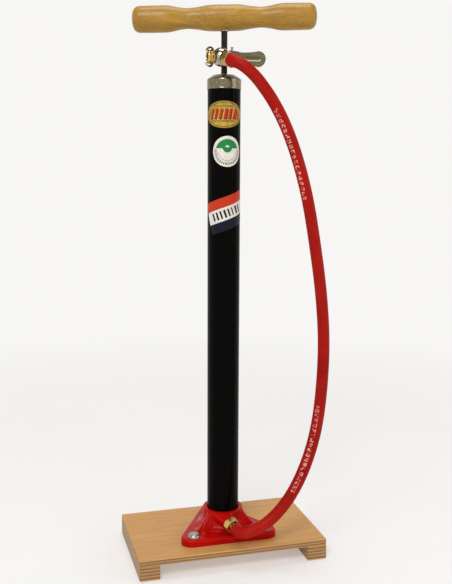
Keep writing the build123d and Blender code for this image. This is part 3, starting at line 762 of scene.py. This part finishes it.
barrel_wall = tube_profile(BARREL_LOW, BARREL_HIGH, BARREL_RADIUS, BORE_RADIUS)
barrel_tube = turned("barrel_tube", barrel_wall, "stand", sides=128, closed=True)
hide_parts("barrel")

CAP_OUTSIDE = [(512.6, 17.6), (512.6, 18.1), (513.3, 18.15), (514.0, 17.95)]
CAP_OUTSIDE += [(518.0, 18.0), (523.0, 18.05), (527.5, 11.2), (527.5, 6.5)]
CAP_INSIDE = [(526.4, 6.5), (526.4, 10.8), (522.2, 17.55)]
cap_wall = [*map(tuple, rounded(CAP_OUTSIDE, 1.0)), *CAP_INSIDE]
pressed_cap = turned("pressed_cap", cap_wall, "stand", sides=128, closed=True)
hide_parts("top_cap")

ROD_RADIUS, TAIL_RADIUS = 3.25, 2.5
rod_profile = [(45.0, 2.0), (45.5, TAIL_RADIUS), (56.0, TAIL_RADIUS)]
rod_profile += [(56.1, ROD_RADIUS - 0.2), (56.4, ROD_RADIUS)]
rod_profile += [(z, ROD_RADIUS) for z in np.linspace(80, 570, 40)]
rod_profile += [(575.2, ROD_RADIUS), (575.2, TAIL_RADIUS), (587.5, TAIL_RADIUS), (588.0, 2.0)]
rod_bar = turned("rod_bar", rod_profile, "rod", sides=48)
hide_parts("piston_rod")

# %% [markdown]
# Zinc plate is a dull warm grey with a fine spangle and soft wipe marks round the turning; ground
# steel is darker, with lines round the bar. Brass shows a yellow body with darker stains where
# fingers and oil have been. All of them are metals, so their colour is the colour of reflection.

# %% Metal finishes
def worn_metal(name, light, dark, rough, spot_mm=2.2, lines=(500, 500, 500), stain=None):
    """Metal in two close tones by fine noise, an optional stain, and wipe lines (how many to a
    metre along each axis) that move the roughness."""
    material, tree, shader, coords = finish_start(name)
    place = coords.outputs["Object"]
    tone = remap(tree, noise(tree, place, 1000 / spot_mm, 4), 0.36, 0.64)
    colour = mixed(tree, tone, dark, light)
    if stain:
        dirty = remap(tree, noise(tree, place, 160, 4), 0.52, 0.68, 0.0, 0.75)
        colour = mixed(tree, dirty, colour, stain)
    streaks = noise(tree, scaled(tree, place, lines), 1, 3)
    rough = remap(tree, streaks, 0.3, 0.7, rough - 0.07, rough + 0.12)
    feed(tree, shader, {"Base Color": colour, "Metallic": 1.0, "Roughness": rough})
    relief(tree, shader, streaks, 0.012, 0.6)
    return material


zinc_plate = worn_metal("Zinc_Plated_Steel", "#B4AC98", "#8F8875", 0.27, lines=(90, 90, 2500))
aged_zinc = worn_metal("Aged_Zinc_Cap", "#8E866E", "#6E6650", 0.24, lines=(90, 90, 2500))
ground_steel = worn_metal("Ground_Steel_Bar", "#38312A", "#251F19", 0.32, lines=(60, 60, 3000))
bolt_steel = worn_metal("Bright_Bolt_Steel", "#B8B2A6", "#989084", 0.34, spot_mm=1.6)
polished_steel = worn_metal("Polished_Steel", "#C2BCAE", "#99917F", 0.16, spot_mm=3.0)
brass = worn_metal("Turned_Brass", "#DDC07A", "#BE9C50", 0.22, stain="#94783A", spot_mm=1.8)
dark_brass = worn_metal("Stained_Brass", "#C8B06C", "#A18C4C", 0.24, stain="#7C6C3A", spot_mm=1.8)
dress(barrel_tube, black_enamel)
dress(pressed_cap, aged_zinc)
dress(rod_bar, ground_steel)
ZINC_NODES = ("batten_screws", "foot_washers", "foot_nuts", "rod_nut")
ZINC_NODES += ("handle_insert", "cup_washer", "plunger_plate", "check_spring")
BRASS_NODES = ("outlet_washer", "valve_seat", "guide_bush", "outlet_tail", "lever_cam", "seal_pusher")
for finish, nodes in ((zinc_plate, ZINC_NODES), (bolt_steel, ["foot_bolts"]), (brass, BRASS_NODES)):
    for node in nodes:
        dress(frame["nodes"][node], finish)
print("metals:", [m.name for m in bpy.data.materials if m.name.endswith(("Steel", "Brass"))])

# %% [markdown]
# ## Handle
# The grip is one bar of pale hardwood, turned with a swell in the middle, two waists for the
# fingers and fuller ends, all rounded over. It sits across the rod, turned a little, and was put
# on slightly skew. A smooth curve through a few measured radii gives the outline, and the ends
# roll in with a quarter ellipse to a nearly flat face.

# %% Handle shape
HANDLE_HALF = 96.3
HANDLE_HEIGHT = 585.6
END_ROLL = 7.6  # how far the radius falls over each rounded end
HALF_POINTS = [(0.0, 13.3), (17.0, 13.0), (29.0, 11.2), (39.0, 10.45)]
HALF_POINTS += [(48.0, 11.5), (57.0, 13.3), (72.0, 13.65), (88.0, 13.5)]
HANDLE_POINTS = [(-s, r) for s, r in HALF_POINTS[:0:-1]] + HALF_POINTS


def through(points, count):
    """A cubic through the points whose slope at each is that of the line between its neighbours."""
    x, y = np.asarray(points, float).T
    slope = np.gradient(y, x)
    at = np.linspace(x[0], x[-1], count)
    k = np.clip(np.searchsorted(x, at) - 1, 0, len(x) - 2)
    h = x[k + 1] - x[k]
    t = (at - x[k]) / h
    value = (2 * t**3 - 3 * t**2 + 1) * y[k] + (t**3 - 2 * t**2 + t) * h * slope[k]
    value += (3 * t**2 - 2 * t**3) * y[k + 1] + (t**3 - t**2) * h * slope[k + 1]
    return at, value


def grip_profile():
    """The outline between the end rolls, then an ellipse quarter to the flat and a slight dome."""
    at, radius = through(HANDLE_POINTS, 130)
    roll = np.linspace(0.12, np.pi / 2, 9)
    end = HANDLE_HALF - 0.6
    depth = end - at[-1]
    right = [(at[-1] + depth * math.sin(t), radius[-1] - END_ROLL * (1 - math.cos(t))) for t in roll]
    left = [(at[0] - depth * math.sin(t), radius[0] - END_ROLL * (1 - math.cos(t))) for t in roll[::-1]]
    dome = [(HANDLE_HALF - 0.2, 4.5), (HANDLE_HALF, 1.0)]
    mirror = [(-s, r) for s, r in reversed(dome)]
    return [*mirror, *left, *zip(at, radius), *right, *dome]


yaw, skew = math.radians(-16.0), math.radians(1.2)
GRIP_WAY = (math.cos(yaw) * math.cos(skew), math.sin(yaw) * math.cos(skew), math.sin(skew))
GRIP_MIDDLE = (0, AXIS_Y, HANDLE_HEIGHT)
turned_grip = turned("turned_grip", grip_profile(), "rod", centre=GRIP_MIDDLE, along=GRIP_WAY, hint=(0, 0, 1))
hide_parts("handle")

GRIP_TONES = ("#AE8630", "#9A7226", "#684412")
GRIP_FINISH = {"turn": (0, 0, -yaw), "fibre": 1.2, "long": 38, "gloss": 0.4, "coat": 0.12}
handle_wood = close_wood(varnished_wood("Lacquered_Hardwood", *GRIP_TONES, **GRIP_FINISH))
dress(turned_grip, handle_wood)
print("grip length mm:", 2 * HANDLE_HALF)

# %% [markdown]
# ## Outlet and head
# The outlet nut and the head's hose fitting are brass hexagons. A hexagon's radius at an angle is
# its flat distance over the cosine of the angle to the nearest flat, and a chamfer is a cone that
# caps that radius near each end. The mouth cap is a turned brass ring with grooves round it.

# %% Hexagons and mouth
CHAMFER, CHAMFER_SLOPE = 0.9, 0.55


def hexagon_stack(name, flats, length, centre, along, body, bore=0.0, hint=(0, 0, 1)):
    """r(angle, s) is the smaller of the hexagon's radius and a cone that opens by s / slope."""
    along, angle, circle = circle_about(along, hint, 96)
    flat_distance = flats / 2
    to_flat = (angle + np.pi / 6) % (np.pi / 3) - np.pi / 6
    hexagon = np.minimum(flat_distance / np.cos(to_flat), flat_distance * 1.135)
    lower, upper = np.linspace(0, CHAMFER, 5)[1:], np.linspace(length - CHAMFER, length, 5)[:-1]
    s = np.concatenate([[0, 0], lower, upper, [length, length]])
    limit = flat_distance * 0.97 + np.minimum(s, length - s) / CHAMFER_SLOPE
    radius = np.minimum(hexagon[None], limit[:, None])
    radius[0] = radius[-1] = bore if bore else flat_distance * 0.5
    rings = np.asarray(centre, float) + s[:, None, None] * along + radius[..., None] * circle[None]
    return skin(name, rings, body, closed=bool(bore), sharp=25)


OUTLET_NUT_LENGTH = 6.5
nut_back = OUTLET_FACE - OUTLET_WAY * OUTLET_NUT_LENGTH
nut_place = (OUTLET_NUT_LENGTH, nut_back, OUTLET_WAY)
hex_outlet_nut = hexagon_stack("hex_outlet_nut", 15.0, *nut_place, "stand", bore=4.0)
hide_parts("outlet_nut")
dress(hex_outlet_nut, brass)

HEAD = np.array([-7.2, -21.5, 544.0])
TILT = math.radians(15.0)
HEAD_UP = np.array([0, -math.sin(TILT), math.cos(TILT)])
HEAD_BACK = np.array([0, math.cos(TILT), math.sin(TILT)])
HEAD_RIGHT = np.array([1.0, 0, 0])
LEAN = math.radians(20.0)
TAIL_WAY = HEAD_RIGHT * math.sin(LEAN) - HEAD_BACK * math.cos(LEAN)
TAIL_SEAT, TAIL_END = 7.8, 16.7
tail_back, tail_length = HEAD + TAIL_WAY * TAIL_SEAT, TAIL_END - TAIL_SEAT
hex_tail = hexagon_stack("hex_tail", 13.6, tail_length, tail_back, TAIL_WAY, "stand", hint=HEAD_UP)
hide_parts("head_tail")
dress(hex_tail, dark_brass)

MOUTH_OUTSIDE = [(9.9, 6.05), (9.9, 7.0), (10.5, 7.2), (11.5, 7.2), (11.9, 6.4), (12.4, 6.4)]
MOUTH_OUTSIDE += [(12.8, 7.1), (13.8, 7.1), (14.6, 6.6), (15.0, 5.8), (15.0, 4.6)]
MOUTH_INSIDE = [(14.6, 4.4), (13.7, 4.4), (13.7, 6.05)]
mouth_wall = [*map(tuple, rounded(MOUTH_OUTSIDE, 0.25, 3)), *MOUTH_INSIDE]
mouth_ring = turned("mouth_ring", mouth_wall, "stand", HEAD, -HEAD_RIGHT, sides=72, hint=HEAD_UP, closed=True)
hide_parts("mouth_cap")
dress(mouth_ring, brass)

dress(frame["nodes"]["head_body"], polished_steel)


HOOK_START = 6.6  # millimetres above and below the mouth's middle
SLOT_MIDDLE = (33.15, 0.0)
SLOT_LENGTH, SLOT_HEIGHT = 16.3, 3.4


def reopened(material):
    """A finished metal's tree and shader, the colour that feeds it and the object coordinates."""
    tree = material.node_tree
    shader = tree.nodes["Principled BSDF"]
    plain = shader.inputs["Base Color"].links[0].from_socket
    return tree, shader, plain, add(tree, "ShaderNodeTexCoord").outputs["Object"]


def from_head(tree, place, way, middle=0.0):
    """How far a place lies along way, counted from middle millimetres past the head's centre."""
    dot = add(tree, "ShaderNodeVectorMath", {0: place, 1: tuple(way)}, operation="DOT_PRODUCT")
    return maths(tree, "SUBTRACT", dot.outputs["Value"], (float(HEAD @ way) + middle) * MM)


def riveted_claws():
    """A brass collar between two hooks of blackened spring steel, told apart by how far a point is
    above or below the mouth's middle."""
    material = worn_metal("Claws_On_Brass", "#DDC07A", "#BE9C50", 0.26, stain="#94783A", spot_mm=1.8)
    tree, shader, plain, place = reopened(material)
    height = maths(tree, "ABSOLUTE", from_head(tree, place, HEAD_UP))
    hook = remap(tree, height, HOOK_START * MM, (HOOK_START + 0.3) * MM)
    metallic = maths(tree, "SUBTRACT", 1.0, hook)
    colour = mixed(tree, hook, plain, "#211C14")
    feed(tree, shader, {"Base Color": colour, "Metallic": metallic, "Specular IOR Level": 0.12})
    return material


def plate_with_painted_slot_light():
    """Plated sheet with a stamped slot: d is the distance to the slot's rounded outline, measured in the
    sheet. The outline is painted light: a painted highlight along its lower edge and painted shade along its
    upper edge, where top light would fall on the stamped recess."""
    material = worn_metal("Dull_Plated_Lever", "#7E7A5C", "#6C684E", 0.34, lines=(1500, 400, 60))
    tree, shader, plain, place = reopened(material)
    reach = [from_head(tree, place, way, at) for way, at in zip((HEAD_RIGHT, HEAD_UP), SLOT_MIDDLE)]
    beyond = maths(tree, "SUBTRACT", maths(tree, "ABSOLUTE", reach[0]), (SLOT_LENGTH - SLOT_HEIGHT) / 2 * MM)
    beyond = maths(tree, "MAXIMUM", beyond, 0.0)
    square = maths(tree, "ADD", product(tree, beyond, beyond), product(tree, reach[1], reach[1]))
    d = maths(tree, "SUBTRACT", maths(tree, "SQRT", square), SLOT_HEIGHT / 2 * MM)
    # Painted highlight on the slot's lower rim and painted shade on its upper rim, in place of top light on
    # the stamped recess.
    rim = remap(tree, maths(tree, "ABSOLUTE", d), 0.55 * MM, 0.25 * MM)
    edge = mixed(tree, remap(tree, reach[1], 0.6 * MM, -0.6 * MM), "#3E3A28", "#F2EFDC")
    feed(tree, shader, {"Base Color": mixed(tree, rim, plain, edge)})
    return material


dress(frame["nodes"]["mouth_claws"], riveted_claws())
dress(frame["nodes"]["lever"], plate_with_painted_slot_light())
dress(frame["nodes"]["lever_pin"], bolt_steel)
print("head at", HEAD)

# %% [markdown]
# ## Labels
# Three printed foil stickers sit on the front of the tube: an oval, a round one and a wide
# slanting one in three bands. Each is a thin closed patch bent round the tube: a flat outline in
# millimetres, s round the tube and z up, is shrunk ring by ring to its middle and laid on the
# radius. The map keeps s and z, so print is drawn at its real size.

# %% Label patches
LABEL_RISE, LABEL_RINGS = 0.14, 14
OVAL_HALVES, ROUND_HALVES = (22.1, 14.0), (16.0, 16.0)


def label_patch(name, outline, height, turn):
    """outline[j] = (s, z) from the label's middle. A point goes to angle turn + s / r from the front."""
    outline = np.asarray(outline, float)
    shares = np.concatenate([[0.02, 0.5, 0.985, 1.0, 1.0, 0.985], np.linspace(0.95, 0.02, LABEL_RINGS)])
    rise = np.concatenate([[0, 0, 0, 0.02, LABEL_RISE - 0.03, LABEL_RISE], np.full(LABEL_RINGS, LABEL_RISE)])
    flat = shares[:, None, None] * outline[None]
    radius = BARREL_RADIUS + 0.01 + rise[:, None]
    angle = turn + flat[..., 0] / BARREL_RADIUS
    x, y = radius * np.sin(angle), AXIS_Y - radius * np.cos(angle)
    piece = skin(name, np.stack([x, y, height + flat[..., 1]], -1), "stand")
    points = np.array([v.co for v in piece.data.vertices]) / MM
    s = (np.arctan2(points[:, 0], AXIS_Y - points[:, 1]) - turn) * BARREL_RADIUS
    pairs = np.stack([s, points[:, 2] - height], 1)
    corners = np.zeros(len(piece.data.loops), np.int32)
    piece.data.loops.foreach_get("vertex_index", corners)
    layer = piece.data.uv_layers.new(name="map")
    layer.data.foreach_set("uv", pairs[corners].astype(np.float32).ravel())
    return piece


def ellipse(half_width, half_height, count=96):
    """(a cos t, b sin t)."""
    t = np.linspace(0, 2 * np.pi, count, endpoint=False)
    return np.stack([half_width * np.cos(t), half_height * np.sin(t)], 1)


def slanted_strip(half_length, half_width, slant, count=30):
    """A rectangle turned by slant: its four sides as evenly spaced points."""
    run = np.linspace(0, 1, count, endpoint=False)[:, None]
    corner = np.array([(-1, -1), (1, -1), (1, 1), (-1, 1)]) * (half_length, half_width)
    sides = np.concatenate([corner[k] + run * (corner[(k + 1) % 4] - corner[k]) for k in range(4)])
    turn = np.array([(math.cos(slant), math.sin(slant)), (-math.sin(slant), math.cos(slant))])
    return sides @ turn


OVAL_Z, ROUND_Z, STRIPE_Z = 486.0, 448.0, 384.0
OVAL_TURN, ROUND_TURN, STRIPE_TURN = (math.radians(a) for a in (-14.6, -3.4, 0.0))
STRIPE_SLANT = math.radians(19.5)
oval_sticker = label_patch("oval_sticker", ellipse(*OVAL_HALVES), OVAL_Z, OVAL_TURN)
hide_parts("oval_label")
round_sticker = label_patch("round_sticker", ellipse(*ROUND_HALVES), ROUND_Z, ROUND_TURN)
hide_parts("round_label")
stripe_sticker = label_patch("stripe_sticker", slanted_strip(24.3, 16.9, STRIPE_SLANT), STRIPE_Z, STRIPE_TURN)
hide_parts("stripe_label")

# %% [markdown]
# The print is plain shapes only: rings, bands, dots and upright bars where a real sticker has
# words. Each shape is a step between two distances, worked out from the map's s and z.

# %% Label print
def label_start(name):
    """Material, tree, shader, object coordinates, and the map split in s and z, in millimetres."""
    material, tree, shader, coords = finish_start(name)
    split = add(tree, "ShaderNodeSeparateXYZ", {0: coords.outputs["UV"]})
    return material, tree, shader, coords.outputs["Object"], split.outputs[0], split.outputs[1]


def radius_of(tree, s, z, a, b):
    """sqrt((s / a)^2 + (z / b)^2): 1 on the ellipse with half axes a and b."""
    along = maths(tree, "POWER", maths(tree, "ABSOLUTE", maths(tree, "DIVIDE", s, a)), 2.0)
    up = maths(tree, "POWER", maths(tree, "ABSOLUTE", maths(tree, "DIVIDE", z, b)), 2.0)
    return maths(tree, "SQRT", maths(tree, "ADD", along, up))


def bars(tree, s, z, pitch, fill, low, high, lean=0.0, seed=0.0):
    """Upright bars between z = low and high, one to a pitch, each of its own width and height."""
    run = maths(tree, "DIVIDE", maths(tree, "SUBTRACT", s, product(tree, z, lean)), pitch)
    number = maths(tree, "ADD", maths(tree, "FLOOR", run), seed)
    chance = add(tree, "ShaderNodeTexWhiteNoise", {"W": number}, noise_dimensions="1D").outputs["Value"]
    width = maths(tree, "ADD", product(tree, chance, 0.3), fill)
    on = maths(tree, "LESS_THAN", maths(tree, "FRACT", run), width)
    return product(tree, on, band(tree, z, low, high))


def foil_finish(tree, shader, place, colour, rough, metallic=0.0):
    """A printed skin: slight unevenness in gloss, under clear lacquer."""
    rough = remap(tree, noise(tree, place, 300, 3), 0.35, 0.65, rough, rough + 0.12)
    feed(tree, shader, {"Base Color": colour, "Roughness": rough, "Metallic": metallic})
    feed(tree, shader, {"Coat Weight": 0.08, "Coat Roughness": 0.15, "Specular IOR Level": 0.15})
    relief(tree, shader, noise(tree, place, 260, 3), 0.03, 0.6)


def gold_foil_print():
    """Gold foil, a dark keyline inside the rim, a row of shaded red bars and two of small dark ones."""
    material, tree, shader, place, s, z = label_start("Printed_Gold_Foil")
    colour = mixed(tree, remap(tree, noise(tree, place, 220, 3), 0.35, 0.65), "#A5832F", "#C6A650")
    ring = radius_of(tree, s, z, *OVAL_HALVES)
    colour = mixed(tree, band(tree, ring, 0.86, 0.905), colour, "#4A3510")
    colour = mixed(tree, maths(tree, "GREATER_THAN", ring, 0.965), colour, "#7A6226")
    inner = maths(tree, "LESS_THAN", ring, 0.8)
    shade = bars(tree, maths(tree, "SUBTRACT", s, 0.5), maths(tree, "ADD", z, 0.5), 5.0, 0.5, -4.6, 5.6, 0.22)
    colour = mixed(tree, product(tree, shade, inner), colour, "#3C2210")
    marks = bars(tree, s, z, 5.0, 0.45, -4.2, 6.0, 0.22)
    colour = mixed(tree, product(tree, marks, inner), colour, "#B8301C")
    small = bars(tree, s, z, 1.5, 0.4, -7.6, -6.0, 0.0, 7.0)
    upper = bars(tree, s, z, 1.5, 0.4, 7.8, 9.2, 0.0, 3.0)
    fine = product(tree, maths(tree, "MAXIMUM", small, upper), maths(tree, "LESS_THAN", ring, 0.74))
    colour = mixed(tree, fine, colour, "#4A3510")
    foil_finish(tree, shader, place, colour, 0.34, 0.6)
    return material


def round_print():
    """White paper, a green cap over a green dot at the top, and a ring of dark dashes below."""
    material, tree, shader, place, s, z = label_start("Printed_White_Paper_Label")
    colour = mixed(tree, remap(tree, noise(tree, place, 120, 3), 0.35, 0.65), "#CFCBBF", "#DEDAD0")
    ring = radius_of(tree, s, z, *ROUND_HALVES)
    leaf = product(tree, maths(tree, "LESS_THAN", ring, 0.8), maths(tree, "GREATER_THAN", z, 3.2))
    hill = radius_of(tree, s, maths(tree, "SUBTRACT", z, 5.4), 5.6, 6.6)
    green = maths(tree, "MAXIMUM", leaf, maths(tree, "LESS_THAN", hill, 1.0))
    colour = mixed(tree, green, colour, "#1E7A40")
    pale = radius_of(tree, s, maths(tree, "SUBTRACT", z, 5.2), 2.1, 1.1)
    colour = mixed(tree, maths(tree, "LESS_THAN", pale, 1.0), colour, "#BFD8B8")
    bearing = product(tree, maths(tree, "ARCTAN2", z, s), 15.0 / (2 * math.pi) * 2.4)
    dash = maths(tree, "LESS_THAN", maths(tree, "FRACT", bearing), 0.5)
    low = maths(tree, "LESS_THAN", z, 2.0)
    ticks = product(tree, dash, low, band(tree, ring, 0.72, 0.88))
    colour = mixed(tree, ticks, colour, "#3A4438")
    arc = product(tree, band(tree, ring, 0.58, 0.62), maths(tree, "LESS_THAN", z, -1.0))
    colour = mixed(tree, product(tree, arc, 0.6), colour, "#3A4438")
    foil_finish(tree, shader, place, colour, 0.38)
    return material


def stripe_print():
    """Three bands across the slant, orange-red, white and navy, with dark bars in the white."""
    material, tree, shader, place, s, z = label_start("Printed_Striped_Vinyl_Label")
    cos_slant, sin_slant = math.cos(STRIPE_SLANT), math.sin(STRIPE_SLANT)
    across = maths(tree, "SUBTRACT", product(tree, z, cos_slant), product(tree, s, sin_slant))
    along = maths(tree, "ADD", product(tree, z, sin_slant), product(tree, s, cos_slant))
    white = mixed(tree, remap(tree, noise(tree, place, 120, 3), 0.35, 0.65), "#C9C5BE", "#DAD7D0")
    colour = mixed(tree, maths(tree, "GREATER_THAN", across, 6.7), white, "#B83012")
    colour = mixed(tree, maths(tree, "LESS_THAN", across, -6.7), colour, "#0D0820")
    marks = bars(tree, along, across, 4.4, 0.3, -4.2, 4.2, 0.0, 11.0)
    inside = band(tree, along, -17.6, 17.6)
    colour = mixed(tree, product(tree, marks, inside), colour, "#1A1614")
    foil_finish(tree, shader, place, colour, 0.32)
    return material


dress(oval_sticker, gold_foil_print())
dress(round_sticker, round_print())
dress(stripe_sticker, stripe_print())
print("labels at", OVAL_Z, ROUND_Z, STRIPE_Z)

# %% [markdown]
# ## Soft parts inside
# The cup is oiled leather, the wiper felt, and the gasket, mouth seal and buffer black rubber.
# They hardly show, but each still has the finish of what it is.

# %% Soft finishes
def fibrous(name, light, dark, fibre_mm, rough, depth_mm):
    """A matt surface of short fibres or pores in two tones."""
    material, tree, shader, coords = finish_start(name)
    place = coords.outputs["Object"]
    fibres = noise(tree, place, 1000 / fibre_mm, 5, 0.7)
    tree.links.new(mixed(tree, remap(tree, fibres, 0.35, 0.65), dark, light), shader.inputs["Base Color"])
    tree.links.new(remap(tree, fibres, 0.3, 0.7, rough - 0.1, rough + 0.05), shader.inputs["Roughness"])
    relief(tree, shader, fibres, depth_mm, 0.8)
    return material


black_rubber = moulded_rubber("Moulded_Black_Rubber", "#1D1B1A", "#131211", "#3A3836", False)
oiled_leather = fibrous("Oiled_Leather", "#8A5A30", "#5E3A1C", 1.4, 0.55, 0.1)
wool_felt = fibrous("Wool_Felt", "#A8A294", "#7C766A", 0.8, 0.95, 0.2)
for node in ("barrel_gasket", "top_buffer", "mouth_seal", "check_ball"):
    dress(frame["nodes"][node], black_rubber)
dress(frame["nodes"]["leather_cup"], oiled_leather)
dress(frame["nodes"]["wiper_felt"], wool_felt)

# %% [markdown]

# %% [markdown]
# ## Floor and light
# The pump stands on a plain pale floor in a pale room. A large soft light hangs high on the left
# in front, a weaker one fills from the right, and a third hangs straight above. The floor glows
# more with distance, until it is as pale as the room and its edge can't be seen.

# %% Floor
BACKDROP = "#F7F6F4"


def floor_disc(radius_mm=6000, columns=96):
    """Rings of a flat disc, a hair under the battens, closed beneath by its own thickness."""
    t = np.linspace(0, 2 * np.pi, columns, endpoint=False)
    circle = np.stack([np.cos(t), np.sin(t)], 1)
    levels = [(1.0, -4.0), (radius_mm, -4.0), (radius_mm, -0.1), (600.0, -0.1), (1.0, -0.1)]
    return np.stack([np.column_stack([circle * r, np.full(columns, z)]) for r, z in levels])


floor = skin("studio_floor", floor_disc(), "stand")
floor.parent = None
del floor["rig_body"]
floor_paint, floor_tree, floor_shader, floor_coords = finish_start("Matt_Floor_Paint")
floor_tone = remap(floor_tree, noise(floor_tree, floor_coords.outputs["Object"], 3, 2), 0.3, 0.7)
floor_reach = add(floor_tree, "ShaderNodeVectorMath", {0: floor_coords.outputs["Object"]}, operation="LENGTH")
glow = remap(floor_tree, floor_reach.outputs["Value"], 0.1, 1.2, 0.35, 1.0)
near = mixed(floor_tree, floor_tone, "#EEECEA", "#F2F0EE")
floor_colour = mixed(floor_tree, glow, near, "#000000")
feed(floor_tree, floor_shader, {"Base Color": floor_colour, "Roughness": 0.9, "Specular IOR Level": 0.0})
feed(floor_tree, floor_shader, {"Emission Color": linear(BACKDROP), "Emission Strength": glow})
dress(floor, floor_paint)

# %% [markdown]
# The room is pale behind the pump and low down on every side. It is dark only overhead and in
# front, so that polished metal has something dark to show next to the lights.

# %% Lights
def soft_light(name, place, aim, width, height, power):
    """A rectangular light of watts power; its -Z looks from place to aim."""
    lamp = bpy.data.lights.new(name, "AREA")
    lamp.shape = "RECTANGLE"
    lamp.size, lamp.size_y, lamp.energy = width, height, power
    away = np.subtract(place, aim)
    away = away / np.linalg.norm(away)
    right = np.cross((0, 0, 1), away)
    right = right / np.linalg.norm(right)
    made = bpy.data.objects.new(name, lamp)
    made.matrix_world = matrix_of(right, np.cross(away, right), away, place)
    bpy.context.scene.collection.objects.link(made)


soft_light("key_light", (-0.9, -1.5, 1.9), (0, 0, 0.3), 0.9, 0.9, 30)
soft_light("fill_light", (1.6, -1.2, 1.0), (0, 0, 0.3), 0.8, 1.2, 5)
soft_light("top_light", (0.1, 0.1, 2.0), (0, 0, 0.5), 0.8, 0.8, 13)

world = bpy.data.worlds.new("studio")
bpy.context.scene.world = world
world.use_nodes = True
world_tree = world.node_tree
way = add(world_tree, "ShaderNodeTexCoord").outputs["Generated"]
parts = add(world_tree, "ShaderNodeSeparateXYZ", {0: way})
behind = remap(world_tree, parts.outputs[1], 0.15, 0.8)
low_down = remap(world_tree, parts.outputs[2], 0.62, 0.46)
room = mixed(world_tree, maths(world_tree, "MAXIMUM", behind, low_down), "#4E4C49", BACKDROP)
feed(world_tree, world_tree.nodes["Background"], {"Color": room, "Strength": 1.0})
